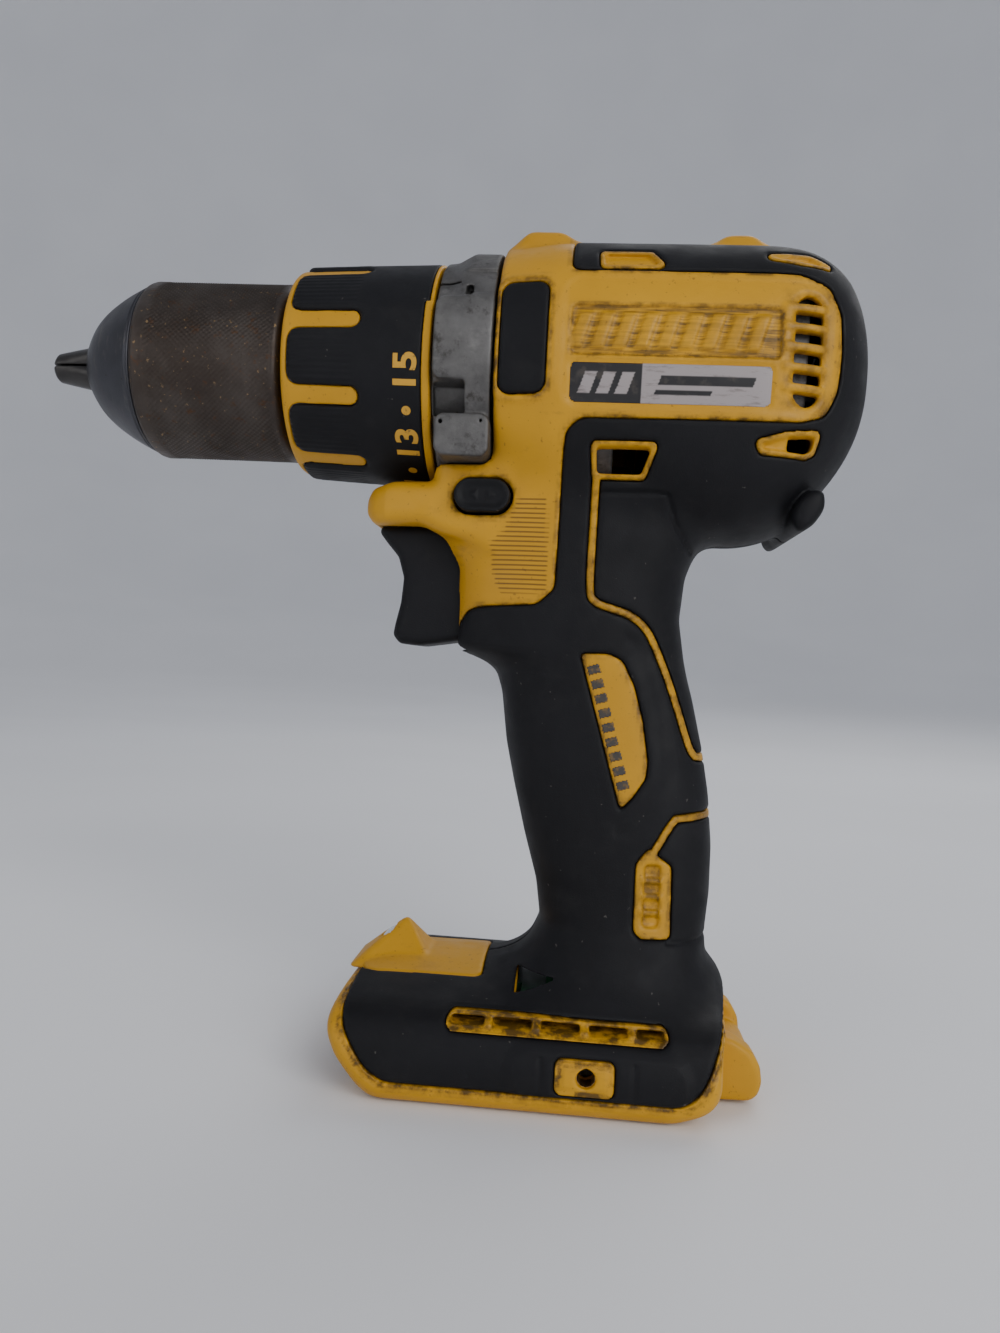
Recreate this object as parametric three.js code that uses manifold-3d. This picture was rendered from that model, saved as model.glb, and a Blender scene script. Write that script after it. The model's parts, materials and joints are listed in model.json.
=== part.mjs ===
// Cordless drill, bare tool. Millimetres, +Z up. The drill stands on its foot and the bit points to -X.
// Everything is drawn in the spindle frame, whose X axis is the spindle's own axis, and the last group
// moves it so that the origin is the middle of the foot's base.
import * as THREE from 'three'
import { mergeVertices } from 'three/addons/utils/BufferGeometryUtils.js'
import Module from 'manifold-3d'

const wasm = await Module()
wasm.setup()

// ---- Driving dimensions -------------------------------------------------------------------------
const SPINDLE_HEIGHT = 165.2
const JAW_TIP_X = -113.8
const REAR_X = 87
const WALL = 3.4
const GRIP_DEPTH = 1.7
const GAP = 0.3
const SEAM = 0.15
const FAR = 100

const NOSE_FRONT_X = -102.7
const NOSE_REAR_X = -85.9
const SLEEVE_REAR_X = -49.6
const SLEEVE_RADIUS = 21.5
const COLLAR_FRONT_X = -48.4
const COLLAR_REAR_X = -13.4
const FINGERS = 9
const FINGER_PHASE = 14.8
const FINGER_HALF = 2.1

const MODULE = 0.9
const SUN_TEETH = 12
const PLANET_TEETH = 15
const RING_TEETH = 42
const PLANETS = 3
const ORBIT = (MODULE * (SUN_TEETH + PLANET_TEETH)) / 2
const RING_RADIUS = 21.6
const PIN_RADIUS = 1.8

const JAWS = 3
const JAW_TILT = THREE.MathUtils.degToRad(15)
const JAW_RADIUS = 3.5
const JAW_LENGTH = 33
const TRIGGER_TRAVEL = 7
const TRIGGER_HALF_WIDTH = 8.8
const SLOT_TOP_Z = -151
const LEAD_RADIUS = 1.2

// Motor barrel: x, half width, height above the axis, depth below it
const BARREL = [
  [1, 29.2, 29.4, 28.5], [14, 31.6, 31.2, 34], [50, 32, 31.3, 38.4], [64, 32, 31.2, 38.2],
  [72, 30.2, 29.8, 34.2], [78, 26.8, 26.2, 27.2], [82.6, 20.6, 20.8, 18.8], [85.8, 12.4, 12.8, 9.2],
  [REAR_X, 3, 3.5, 2],
]
// Handle: z, front x, rear x, half width
const HANDLE = [
  [-16, -4, 50, 20], [-38, -11.4, 49.9, 20.6], [-42, -11.2, 49.3, 20.5], [-47, -8.3, 47.6, 20],
  [-57, -8, 46.8, 19.2], [-66.4, -8.4, 48.4, 18.3], [-68.2, -1, 48.8, 17.9], [-71, 3.2, 49.5, 17.6],
  [-76, 4.9, 51, 17.3], [-88, 6.6, 54, 17.1], [-98, 9, 55.9, 17.1], [-110, 12.2, 57.2, 17.1],
  [-121, 15.6, 57.3, 17.4], [-130, 17, 56.6, 18.2], [-136, 14.6, 57.4, 21.5], [-147, 9.4, 59, 26],
]
// Foot: side outline in x, z and end outline in y, z
const FOOT_SIDE = [
  [-18, -139.8], [-24.6, -142.6], [-27.9, -146.8], [-28.1, -151], [-25.4, -156.4], [-17.8, -165.2],
  [50.6, -165.2], [54.6, -163.4], [57.4, -161], [58.7, -158], [58.7, -151], [61, -146], [61, -141.5],
  [59.6, -138], [-6, -138],
]
const FOOT_END = [
  [0, -139.6], [-6, -140.1], [-12, -141.6], [-20, -143.4], [-27, -145.2], [-31.5, -147.4],
  [-35.6, -152], [-35.6, -162.8], [-33.4, -165.2], [33.4, -165.2], [35.6, -162.8], [35.6, -152],
  [31.5, -147.4], [27, -145.2], [20, -143.4], [12, -141.6], [6, -140.1],
]
const NOSE_BLOCK = [
  [-28.2, -29], [-22.5, -27.4], [-13.1, -27.5], [-13.1, -22], [6, -22], [6, -34], [0, -43],
  [-10.4, -40.6], [-15.3, -38.3], [-27.4, -38.4], [-29.8, -35.6], [-29.7, -31.8],
]
const NOSE_PLAN = [
  [-30, -11.5], [-27, -14.2], [-13, -17.8], [6, -20], [6, 20], [-13, 17.8], [-27, 14.2], [-30, 11.5],
]
// Hump over each top screw: front x and rear x
const HUMPS = [[0, 20.6], [46.2, 64]]
const HUMP_TOP_Z = 33.8
// Two lugs behind the foot, each between two distances from the middle, and the bridge between them
const REAR_LUG = [
  [58, -149.6], [62.3, -150.3], [66.6, -152.8], [68.8, -156.2], [69.4, -160], [68.6, -163],
  [66.6, -165.2], [58, -165.2],
]
const REAR_BRIDGE = [
  [58, -155.6], [66, -156.6], [69, -158.4], [70, -161], [69.2, -163.8], [67, -165.2], [58, -165.2],
]
const LUG_INNER = 12.5
const LUG_OUTER = 20
const TRIGGER = [
  [-26.6, -37.4], [-27.1, -39.2], [-25.2, -41.2], [-21.8, -45], [-20.3, -50], [-20.6, -56.5],
  [-22.2, -62.6], [-21.6, -65.2], [-19.4, -66.1], [-10.8, -66], [-2, -62], [-2, -43], [-8, -40],
  [-12, -37.4],
]
// Outline of the yellow column and panel that the overmould leaves free, in x, z
const PANEL = [
  [-60, 60], [17.4, 60], [17.4, 17.4], [66, 17.4], [73, 15], [75.7, 9], [76.3, 0], [75.9, -7.5],
  [73.4, -12.8], [68, -14.8], [60, -15.2], [20.8, -15.4], [17.8, -18], [17.4, -24], [17, -52],
  [13, -55.8], [0.1, -56.6], [-3.2, -57.4], [-5.3, -60.4], [-6.6, -70], [-60, -70],
]
const OVERMOULD = [
  [-12, 40], [95, 40], [95, -50], [64, -60], [64, -138], [62, -143], [58.5, -145.8], [56.4, -151.4],
  [54.2, -156.2], [52, -159.2], [49, -160.4], [-13.6, -160.5], [-17.8, -158], [-23.4, -150.2],
  [-24.6, -145.6], [-24.6, -141], [-20, -136], [-14, -130], [-12, -60],
]
const FRONT_PAD = [
  [2.3, 13], [3.6, 14.3], [11.4, 14.3], [12.6, 13], [12.7, -9.2], [11.4, -10.5], [3.6, -10.5],
  [2.3, -9.2],
]
// Openings through the housing's wall, in x, z
const WINDOW = [[24.6, -21], [36.6, -21], [34.8, -26.2], [25, -26.2]]
const REAR_SLOT = [[65.6, -18], [71.4, -17.2], [70.8, -19.8], [69.6, -20.4], [65.6, -20.4]]
const FOOT_SLOT = [[-0.2, -146.6], [45.6, -146.6], [45.6, -148.6], [-0.2, -148.6]]
const FOOT_SLOT_INNER = 24
const VENTS = { count: 6, top: 11.4, pitch: 4.27, half: 1.15, front: 65.4, rear: 71.4 }
// Front edge of the shell beside the gear case, and the rooms inside it for the case and the collar
const CASE_EDGE = { x: 1.1, z: -24.2, caseRadius: 29.6, collarRadius: 27.6, collarX: -12.6 }
const BUTTON = { x: -0.65, z: -31.6, length: 13.3, height: 8, halfWidth: 21.3 }
const HOOK_PLATE = [[22.8, -152.2], [35.6, -152.2], [35.6, -159.8], [22.8, -159.8]]
const INSERT = { x: 29.5, z: -156, outer: 3.4, bore: 2, inner: 30.2, face: 33.9, mouth: 2.1 }
const BOSS_RADIUS = 4.4
// The speed selector's bracket slides below this height, under the top screws' bosses
const BRACKET_ROOM_Z = 25.9
// Lamp cover on the foot: its plan, thickness and the hood's top and slopes
const LED_PLAN = [
  [-24.2, -8.5], [-22.6, -12.8], [-18.6, -15], [3, -15], [4.6, -13.4], [4.6, 13.4], [3, 15],
  [-18.6, 15], [-22.6, 12.8], [-24.2, 8.5],
]
const LED_THICKNESS = 2.6
const HOOD_SIDE = [[-24.2, -143], [-24.2, -141.8], [-15.6, -133.9], [-10.8, -140], [-10.8, -143]]
const HOOD_END = [[-7, -143], [-6.6, -141.6], [0, -133.9], [6.6, -141.6], [7, -143]]
// Seat and lens in the hood: both ends of each one's axis
const LENS_SEAT = { from: [-21.75, 0, -136.83], to: [-19.18, 0, -139.62], radius: 2.9 }
const LENS = { from: [-20.54, 0, -138.15], to: [-19.38, 0, -139.4], radius: 2.4 }
const SCREWS = [
  ['screw_top_front', 10, 29.4, 11.5], ['screw_top_rear', 55, 29.4, 11.5],
  ['screw_nose', -21.5, -33.4, 13], ['screw_rear', 63.5, -27.6, 20], ['screw_handle_top', 31, -72, 17.2],
  ['screw_handle_low', 47, -122, 16.6], ['screw_foot', 55, -149, 31],
]

// ---- Geometry helpers ---------------------------------------------------------------------------
const alongX = new THREE.Matrix4().makeBasis(
  new THREE.Vector3(0, 1, 0), new THREE.Vector3(0, 0, 1), new THREE.Vector3(1, 0, 0))
const alongY = new THREE.Matrix4().makeBasis(
  new THREE.Vector3(1, 0, 0), new THREE.Vector3(0, 0, 1), new THREE.Vector3(0, -1, 0))
const latheToX = new THREE.Matrix4().makeBasis(
  new THREE.Vector3(0, 1, 0), new THREE.Vector3(1, 0, 0), new THREE.Vector3(0, 0, -1))

// A closed three.js geometry as a solid, with its faces turned outwards
function solid(geometry, matrix) {
  const bare = geometry.clone()
  bare.deleteAttribute('normal')
  bare.deleteAttribute('uv')
  if (matrix) bare.applyMatrix4(matrix)
  const merged = mergeVertices(bare, 1e-4)
  const p = merged.attributes.position.array
  const index = merged.index.array
  const triangles = []
  let volume = 0
  for (let i = 0; i < index.length; i += 3) {
    const [a, b, c] = [index[i], index[i + 1], index[i + 2]]
    if (a === b || b === c || c === a) continue
    triangles.push(a, b, c)
    volume += p[3 * a] * (p[3 * b + 1] * p[3 * c + 2] - p[3 * b + 2] * p[3 * c + 1])
    volume += p[3 * a + 1] * (p[3 * b + 2] * p[3 * c] - p[3 * b] * p[3 * c + 2])
    volume += p[3 * a + 2] * (p[3 * b] * p[3 * c + 1] - p[3 * b + 1] * p[3 * c])
  }
  if (volume < 0) triangles.reverse()
  const mesh = new wasm.Mesh({
    numProp: 3, vertProperties: new Float32Array(p), triVerts: new Uint32Array(triangles),
  })
  mesh.merge()
  return new wasm.Manifold(mesh)
}

// The solid as a three.js geometry
function geometryOf(shape) {
  const mesh = shape.getMesh()
  const geometry = new THREE.BufferGeometry()
  geometry.setAttribute('position', new THREE.BufferAttribute(mesh.vertProperties, 3))
  geometry.setIndex(new THREE.BufferAttribute(mesh.triVerts, 1))
  geometry.computeVertexNormals()
  return geometry
}

const union = (...shapes) => shapes.flat().reduce((sum, shape) => sum.add(shape))
const degrees = (angle) => THREE.MathUtils.degToRad(angle)

// Solid of revolution about the spindle axis from a profile of [x, radius] points
function turned(profile, segments = 32) {
  const points = profile.map(([x, radius]) => new THREE.Vector2(radius, x))
  return solid(new THREE.LatheGeometry(points, segments), latheToX)
}

// Tube or disc about the spindle axis
function ring(x0, x1, outer, inner = 0, segments = 32) {
  const closed = inner > 0 ? [[x0, inner]] : []
  return turned([[x0, inner], [x0, outer], [x1, outer], [x1, inner], ...closed], segments)
}

function box(x0, x1, y0, y1, z0, z1) {
  const place = new THREE.Matrix4().makeTranslation((x0 + x1) / 2, (y0 + y1) / 2, (z0 + z1) / 2)
  return solid(new THREE.BoxGeometry(x1 - x0, y1 - y0, z1 - z0), place)
}

function shapeOf(points) {
  return new THREE.Shape(points.map(([a, b]) => new THREE.Vector2(a, b)))
}

// Outline in x, z pushed along Y
function prismY(points, y0, y1) {
  const geometry = new THREE.ExtrudeGeometry(shapeOf(points), { depth: y1 - y0, bevelEnabled: false })
  return solid(geometry, alongY).translate([0, y1, 0])
}

// Outline in y, z pushed along X
function prismX(points, x0, x1) {
  const geometry = new THREE.ExtrudeGeometry(shapeOf(points), { depth: x1 - x0, bevelEnabled: false })
  return solid(geometry, alongX).translate([x0, 0, 0])
}

// Rod from one point to another
function rod(from, to, radius, segments = 12) {
  const a = new THREE.Vector3(...from)
  const b = new THREE.Vector3(...to)
  const turn = new THREE.Quaternion().setFromUnitVectors(
    new THREE.Vector3(0, 1, 0), b.clone().sub(a).normalize())
  const place = new THREE.Matrix4().compose(
    a.clone().add(b).multiplyScalar(0.5), turn, new THREE.Vector3(1, 1, 1))
  return solid(new THREE.CylinderGeometry(radius, radius, a.distanceTo(b), segments), place)
}

// Rod along Y through x, z
const rodY = (x, z, y0, y1, radius, segments = 12) => rod([x, y0, z], [x, y1, z], radius, segments)

// Outline moved inwards by a distance, or outwards by a negative one
function inset(points, distance) {
  const area = points.reduce((sum, [x, z], i) => {
    const [nextX, nextZ] = points[(i + 1) % points.length]
    return sum + x * nextZ - nextX * z
  }, 0)
  const side = Math.sign(area) * distance
  return points.map(([x, z], i) => {
    const [px, pz] = points[(i + points.length - 1) % points.length]
    const [nx, nz] = points[(i + 1) % points.length]
    const before = new THREE.Vector2(x - px, z - pz).normalize()
    const after = new THREE.Vector2(nx - x, nz - z).normalize()
    const bisector = new THREE.Vector2(-before.y - after.y, before.x + after.x).normalize()
    const reach = side / Math.max(0.4, bisector.x * -before.y + bisector.y * before.x)
    return [x + bisector.x * reach, z + bisector.y * reach]
  })
}

// Closed loft through rings of equally many points
function loft(rings) {
  const count = rings[0].length
  const points = rings.flat()
  const index = []
  for (let level = 0; level + 1 < rings.length; level++) {
    for (let i = 0; i < count; i++) {
      const a = level * count + i
      const b = level * count + ((i + 1) % count)
      index.push(a, b, a + count, b, b + count, a + count)
    }
  }
  for (const level of [0, rings.length - 1]) {
    const centre = new THREE.Vector3()
    rings[level].forEach((point) => centre.addScaledVector(point, 1 / count))
    points.push(centre)
    for (let i = 0; i < count; i++) {
      const a = level * count + i
      const b = level * count + ((i + 1) % count)
      index.push(points.length - 1, level ? a : b, level ? b : a)
    }
  }
  const geometry = new THREE.BufferGeometry().setFromPoints(points)
  geometry.setIndex(index)
  return solid(geometry)
}

// Point at a given angle of a rounded box, as a share of its half sizes
function softBox(angle, exponent) {
  const soften = (value) => Math.sign(value) * Math.abs(value) ** (2 / exponent)
  return [soften(Math.cos(angle)), soften(Math.sin(angle))]
}

// ---- Housing form -------------------------------------------------------------------------------
function barrelForm(depth) {
  const segments = depth > 0 ? 12 : 18
  return loft(BARREL.map(([x, half, top, bottom], station) => {
    const shift = x > 62 ? -depth : station === 0 && depth > 0 ? -6 : 0
    return Array.from({ length: segments }, (_, i) => {
      const [across, up] = softBox((2 * Math.PI * i) / segments, 2.25)
      const height = up > 0 ? top : bottom
      const shrink = (size) => Math.max(size - depth, 0.6)
      return new THREE.Vector3(x + shift, across * shrink(half), up * shrink(height))
    })
  }))
}

function handleForm(depth) {
  const segments = depth > 0 ? 10 : 14
  return loft(HANDLE.map(([z, front, rear, half]) => {
    const middle = (front + rear) / 2
    const reach = (rear - front) / 2 - depth
    return Array.from({ length: segments }, (_, i) => {
      const [along, across] = softBox((2 * Math.PI * i) / segments, 2.5)
      return new THREE.Vector3(middle + along * reach, across * (half - depth), z)
    })
  }))
}

function footForm(depth) {
  const side = prismY(inset(FOOT_SIDE, depth), -FAR, FAR)
  return side.intersect(prismX(inset(FOOT_END, depth), -FAR, FAR))
}

// The two humps over the barrel that hold the top screws
function humps(depth) {
  return HUMPS.map(([x0, x1]) => {
    const top = HUMP_TOP_Z - depth
    const outline = [
      [x0 + 1.5, 26], [x0 + 1.5, 30], [x0 + 6, top], [x1 - 6, top], [x1, 30], [x1, 26],
    ]
    return prismY(outline, -11.5 + depth, 11.5 - depth)
  })
}

function form(depth) {
  const parts = [barrelForm(depth), handleForm(depth), footForm(depth)]
  if (depth === 0) parts.push(...humps(0), noseBlock(), rearTab())
  return union(parts)
}

function rearTab() {
  const lugs = [-1, 1].map((side) =>
    slab(REAR_LUG, side * LUG_INNER, side * LUG_OUTER))
  return union([prismY(REAR_BRIDGE, -LUG_INNER - 0.5, LUG_INNER + 0.5), ...lugs])
}

// Outline in x, z pushed along Y between two places given in either order
const slab = (points, y0, y1) => prismY(points, Math.min(y0, y1), Math.max(y0, y1))

// Outline in x, y pushed along Z
function prismZ(points, z0, z1) {
  const geometry = new THREE.ExtrudeGeometry(shapeOf(points), { depth: z1 - z0, bevelEnabled: false })
  return solid(geometry).translate([0, 0, z0])
}

function noseBlock() {
  return prismY(NOSE_BLOCK, -FAR, FAR).intersect(prismZ(NOSE_PLAN, -60, -20))
}

// Side of the seam: -1 is the left half, 1 the right half
function halfSpace(side) {
  const [y0, y1] = side < 0 ? [-FAR, -SEAM] : [SEAM, FAR]
  return box(-150, 150, y0, y1, -200, 100)
}

function overmouldRegion(growth) {
  const region = prismY(inset(OVERMOULD, -growth), -FAR, FAR)
  const panel = prismY(inset(PANEL, growth), -FAR, FAR)
  const hookPlate = prismY(inset(HOOK_PLATE, growth - GAP), -FAR, FAR)
  const spine = box(-50, 70 - growth, -12.5 + growth, 12.5 - growth, 22 + growth, 60)
  return region.subtract(panel).subtract(spine).subtract(hookPlate)
}

// Everything cut through the walls of both the shell and the overmould
function wallCuts(growth) {
  const through = (outline) => prismY(inset(outline, -growth), -FAR, FAR)
  const cuts = [
    box(-60, 50, -22 - growth, 22 + growth, -180, SLOT_TOP_Z + growth),
    box(-60, 50, -28 - growth, 28 + growth, -160 - growth, SLOT_TOP_Z + growth),
    through(WINDOW), through(REAR_SLOT),
    through(FOOT_SLOT).subtract(box(-5, 50, -FOOT_SLOT_INNER, FOOT_SLOT_INNER, -160, -140)),
  ]
  const { count, top, pitch, half, front, rear } = VENTS
  for (let slot = 0; slot < count; slot++) {
    const z = top - slot * pitch
    cuts.push(box(front, rear, -FAR, FAR, z - half, z + half))
  }
  return union(cuts)
}

// Openings for the trigger, the direction button and the speed selector
function controlCuts() {
  const grown = inset(TRIGGER, -0.6)
  const half = TRIGGER_HALF_WIDTH + 0.6
  const trigger = prismY(grown, -half, half)
  const pocket = prismY(grown, -half, half).translate([TRIGGER_TRAVEL, 0, 0])
  const between = box(-24, 5, -half, half, -65.4, -41.5)
  const button = buttonForm(0.45, FAR)
  const selector = box(28.4, 41.6, -5, 5, 24, 60)
  return union(trigger, pocket, between, button, selector)
}

// Room for the gear case and the collar in front of the shell
function caseRoom() {
  const { x, z, caseRadius, collarRadius, collarX } = CASE_EDGE
  const open = box(-60, x, -FAR, FAR, z, FAR)
  return union(open, ring(collarX, x, caseRadius, 0, 28), ring(-60, collarX, collarRadius, 0, 28))
}

function screwBoss([, x, z, half]) {
  return rodY(x, z, -half + 2.5, half - 2.5, BOSS_RADIUS, 8)
}

function screwHole([, x, z, half]) {
  const shank = rodY(x, z, -half + 6, half, 1.9, 6)
  return shank.add(rodY(x, z, half - 8.3, FAR, 3.8, 8))
}

function insertHole(side) {
  const { x, z, outer, inner, face, mouth } = INSERT
  const seat = rodY(x, z, side * (inner - GAP), side * (face + GAP), outer + GAP, 10)
  return seat.add(rodY(x, z, side * face, side * FAR, mouth, 10))
}

function shell(side) {
  const recess = overmouldRegion(GAP).subtract(form(GRIP_DEPTH + GAP))
  const ribs = [[36, 39], [53, 56]].map(([x0, x1]) => ring(x0, x1, 30, 24.4, 20))
  const rearSeat = ring(75.2, REAR_X - WALL + 1, 12, 9.9, 16)
  const seats = union(ribs, rearSeat).intersect(barrelForm(WALL - 1))
  const footCavity = footForm(WALL).intersect(box(-60, 90, -FAR, FAR, -147.4, -100))
  const cavity = union(barrelForm(WALL), handleForm(WALL), footCavity)
  const bosses = union(SCREWS.map(screwBoss)).intersect(form(0.6))
    .subtract(box(0, 30, -12, 12, 20, BRACKET_ROOM_Z))
  const terminalHole = box(13, 45, -20.8, 20.8, -155, -140)
  const fasteners = union(SCREWS.map(screwHole), insertHole(-1), insertHole(1))
  const coverSeat = plateRoom(GAP, LED_THICKNESS + GAP)
  const padSeats = padForm(GAP, -1).add(padForm(GAP, 1))
  return largest(form(0).subtract(cavity).add(seats).add(bosses).subtract(recess)
    .subtract(fasteners).subtract(wallCuts(0)).subtract(controlCuts())
    .subtract(terminalHole).subtract(coverSeat).subtract(padSeats).subtract(caseRoom())
    .intersect(halfSpace(side)))
}

function grip(side) {
  const skin = form(0).subtract(form(GRIP_DEPTH)).intersect(overmouldRegion(0))
  const holes = SCREWS.map(([, x, z, half]) => rodY(x, z, half - 8.3, FAR, 4.1, 8))
  const coverSeat = plateRoom(2 * GAP, LED_THICKNESS + 2 * GAP)
  const lugs = prismY(inset(REAR_LUG, -GAP), -LUG_OUTER - GAP, LUG_OUTER + GAP)
  return largest(skin.subtract(wallCuts(GAP)).subtract(controlCuts()).subtract(coverSeat)
    .subtract(union(holes)).subtract(lugs).subtract(caseRoom())
    .subtract(union(humps(-GAP))).intersect(halfSpace(side)))
}

function largest(shape) {
  const pieces = shape.decompose()
  return pieces.reduce((best, piece) => (piece.volume() > best.volume() ? piece : best))
}

// Rounded rubber pad beside the gear case
function padForm(growth, side) {
  const outline = inset(FRONT_PAD, -growth)
  const [y0, y1] = side < 0 ? [-FAR, 0] : [0, FAR]
  const block = prismY(outline, y0, y1).subtract(barrelForm(GRIP_DEPTH + growth))
  return growth > 0 ? block : block.intersect(barrelForm(0))
}

// ---- Chuck --------------------------------------------------------------------------------------
const jawCentre = (x) => (x - JAW_TIP_X) * Math.tan(JAW_TILT)

function jawRod(angle, from, to, radius, segments) {
  const at = (x) => [x, jawCentre(x) * Math.cos(angle), jawCentre(x) * Math.sin(angle)]
  return rod(at(from), at(to), radius, segments)
}

function jaw(number) {
  const angle = (2 * Math.PI * number) / JAWS
  const half = Math.PI / JAWS
  const reach = 20
  const edge = (turn) => [reach * Math.cos(angle + turn), reach * Math.sin(angle + turn)]
  const sector = prismX([[0, 0], edge(-half), edge(0), edge(half)], JAW_TIP_X, -60)
  const gap = 0.2
  const shifted = sector.translate([0, gap * Math.cos(angle), gap * Math.sin(angle)])
  const blunt = turned([
    [JAW_TIP_X, 0], [JAW_TIP_X, 2.8], [JAW_TIP_X + 1.2, 3.8], [-104, 5.5], [-60, 19], [-60, 0],
  ], 24)
  const body = jawRod(angle, JAW_TIP_X - 4, JAW_TIP_X + JAW_LENGTH, JAW_RADIUS, 8)
  return body.intersect(shifted).intersect(blunt)
}

function chuckNose() {
  return turned([
    [NOSE_FRONT_X, 6.9], [NOSE_FRONT_X, 7.2], [-100.7, 10.4], [-95.6, 15.4], [-92, 17.7],
    [NOSE_REAR_X, 20.6], [NOSE_REAR_X, 16.3], [-97.6, 11.3], [-100.2, 7.8], [NOSE_FRONT_X, 6.9],
  ], 28)
}

function chuckBody() {
  const bored = turned([
    [-99.6, 6.6], [-97.2, 11], [-86, 15.8], [-84.4, 15.8], [-84.4, 11.1], [-75.8, 13.4], [-75.8, 18.4],
    [-51, 18.4], [-51, 6], [-75, 6], [-76.5, 4.6], [-80, 4.6], [-80, 6.6], [-99.6, 6.6],
  ], 24)
  const channels = Array.from({ length: JAWS }, (_, number) =>
    jawRod((2 * Math.PI * number) / JAWS, JAW_TIP_X, -54, JAW_RADIUS + GAP, 8))
  return bored.subtract(union(channels))
}

function jawNut() {
  const slope = (x, clearance) => jawCentre(x) + JAW_RADIUS / Math.cos(JAW_TILT) + clearance
  return turned([
    [-84, slope(-84, 0.5)], [-84, 18.6], [-76.2, 18.6], [-76.2, slope(-76.2, 0.5)],
    [-84, slope(-84, 0.5)],
  ], 28)
}

function chuckSleeve() {
  return turned([
    [-85.5, 19], [-85.5, 20.8], [-84.6, SLEEVE_RADIUS], [-51, SLEEVE_RADIUS], [SLEEVE_REAR_X, 20.4],
    [SLEEVE_REAR_X, 19], [-85.5, 19],
  ], 32)
}

// ---- Clutch collar ------------------------------------------------------------------------------
function fingers(growth) {
  const half = FINGER_HALF + growth
  const blades = Array.from({ length: FINGERS }, (_, number) => {
    const angle = degrees(180 - FINGER_PHASE - (360 / FINGERS) * number)
    return box(-47, -30.4 + growth, 22, 27, -half, half).rotate([THREE.MathUtils.radToDeg(angle), 0, 0])
  })
  const limit = turned([[-47, 0], [-47, 24.2], [-28, 25], [-28, 0]], 27)
  return union(blades).intersect(limit)
}

function clutchCollar() {
  const core = turned([
    [COLLAR_FRONT_X, 16.2], [COLLAR_FRONT_X, 23.8], [-47.4, 24.8], [-45.9, 24.9], [-45.9, 23],
    [-15.2, 23], [-15.2, 26.6], [COLLAR_REAR_X, 26.6], [COLLAR_REAR_X, 20], [-45.4, 20],
    [-45.4, 16.2], [COLLAR_FRONT_X, 16.2],
  ], 27)
  return core.add(fingers(0))
}

function collarGrip() {
  const band = turned([
    [-45.6, 23.3], [-45.6, 24.9], [-30, 25.7], [-15.5, 26.5], [-15.5, 23.3], [-45.6, 23.3],
  ], 27)
  return band.subtract(fingers(GAP))
}

function clutchSpring() {
  const turns = 3.5
  const steps = 12 * turns
  const points = Array.from({ length: steps + 1 }, (_, i) => {
    const angle = (2 * Math.PI * turns * i) / steps
    return new THREE.Vector3(-41 + (19 * i) / steps, 17.9 * Math.cos(angle), 17.9 * Math.sin(angle))
  })
  return tube(points, 1, steps, 5)
}

// Tube with a round section along a smooth curve
function tube(points, radius, steps, sides) {
  const section = new THREE.Shape(Array.from({ length: sides }, (_, i) => {
    const angle = (2 * Math.PI * i) / sides
    return new THREE.Vector2(radius * Math.cos(angle), radius * Math.sin(angle))
  }))
  const extrudePath = new THREE.CatmullRomCurve3(points)
  return solid(new THREE.ExtrudeGeometry(section, { steps, extrudePath, bevelEnabled: false }))
}

// ---- Gears --------------------------------------------------------------------------------------
// Outline of an involute gear with a tooth at a given angle. depthIn and depthOut run from the pitch
// circle to the inner and outer ends of the teeth.
function gearOutline(teeth, tooth, depthIn, depthOut, width) {
  const pitch = (MODULE * teeth) / 2
  const base = pitch * Math.cos(degrees(20))
  const involute = (radius) => {
    const angle = Math.acos(Math.min(1, base / radius))
    return Math.tan(angle) - angle
  }
  const half = (radius) => width / (2 * pitch) + involute(pitch) - involute(radius)
  const points = []
  for (let i = 0; i < teeth; i++) {
    const middle = tooth + (2 * Math.PI * i) / teeth
    for (const [radius, side] of [
      [pitch - depthIn, -1], [pitch + depthOut, -1], [pitch + depthOut, 1], [pitch - depthIn, 1],
    ]) {
      const angle = middle + side * half(radius)
      points.push([radius * Math.cos(angle), radius * Math.sin(angle)])
    }
  }
  return points
}

const toothWidth = ((Math.PI * MODULE) / 2) * 0.88

function sunGear(x0, x1) {
  return prismX(gearOutline(SUN_TEETH, 0, 1, 0.75, toothWidth), x0, x1)
}

function planetGear(x0, x1, number) {
  const angle = (2 * Math.PI * number) / PLANETS
  const wheel = prismX(gearOutline(PLANET_TEETH, angle, 1, 0.75, toothWidth), x0, x1)
  const bore = ring(x0 - 1, x1 + 1, PIN_RADIUS + GAP, 0, 8)
  return wheel.subtract(bore).translate([0, ORBIT * Math.cos(angle), ORBIT * Math.sin(angle)])
}

// The ring's teeth are the gaps of an outline that has a tooth towards each planet
function ringGear(x0, x1) {
  const gapWidth = Math.PI * MODULE - toothWidth
  const gaps = prismX(gearOutline(RING_TEETH, 0, 0.75, 1, gapWidth), x0 - 1, x1 + 1)
  return ring(x0, x1, RING_RADIUS, 0, 28).subtract(gaps)
}

function planetPins(x0, x1) {
  return Array.from({ length: PLANETS }, (_, number) => {
    const angle = (2 * Math.PI * number) / PLANETS
    return ring(x0, x1, PIN_RADIUS, 0, 8).translate([0, ORBIT * Math.cos(angle), ORBIT * Math.sin(angle)])
  })
}

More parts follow.
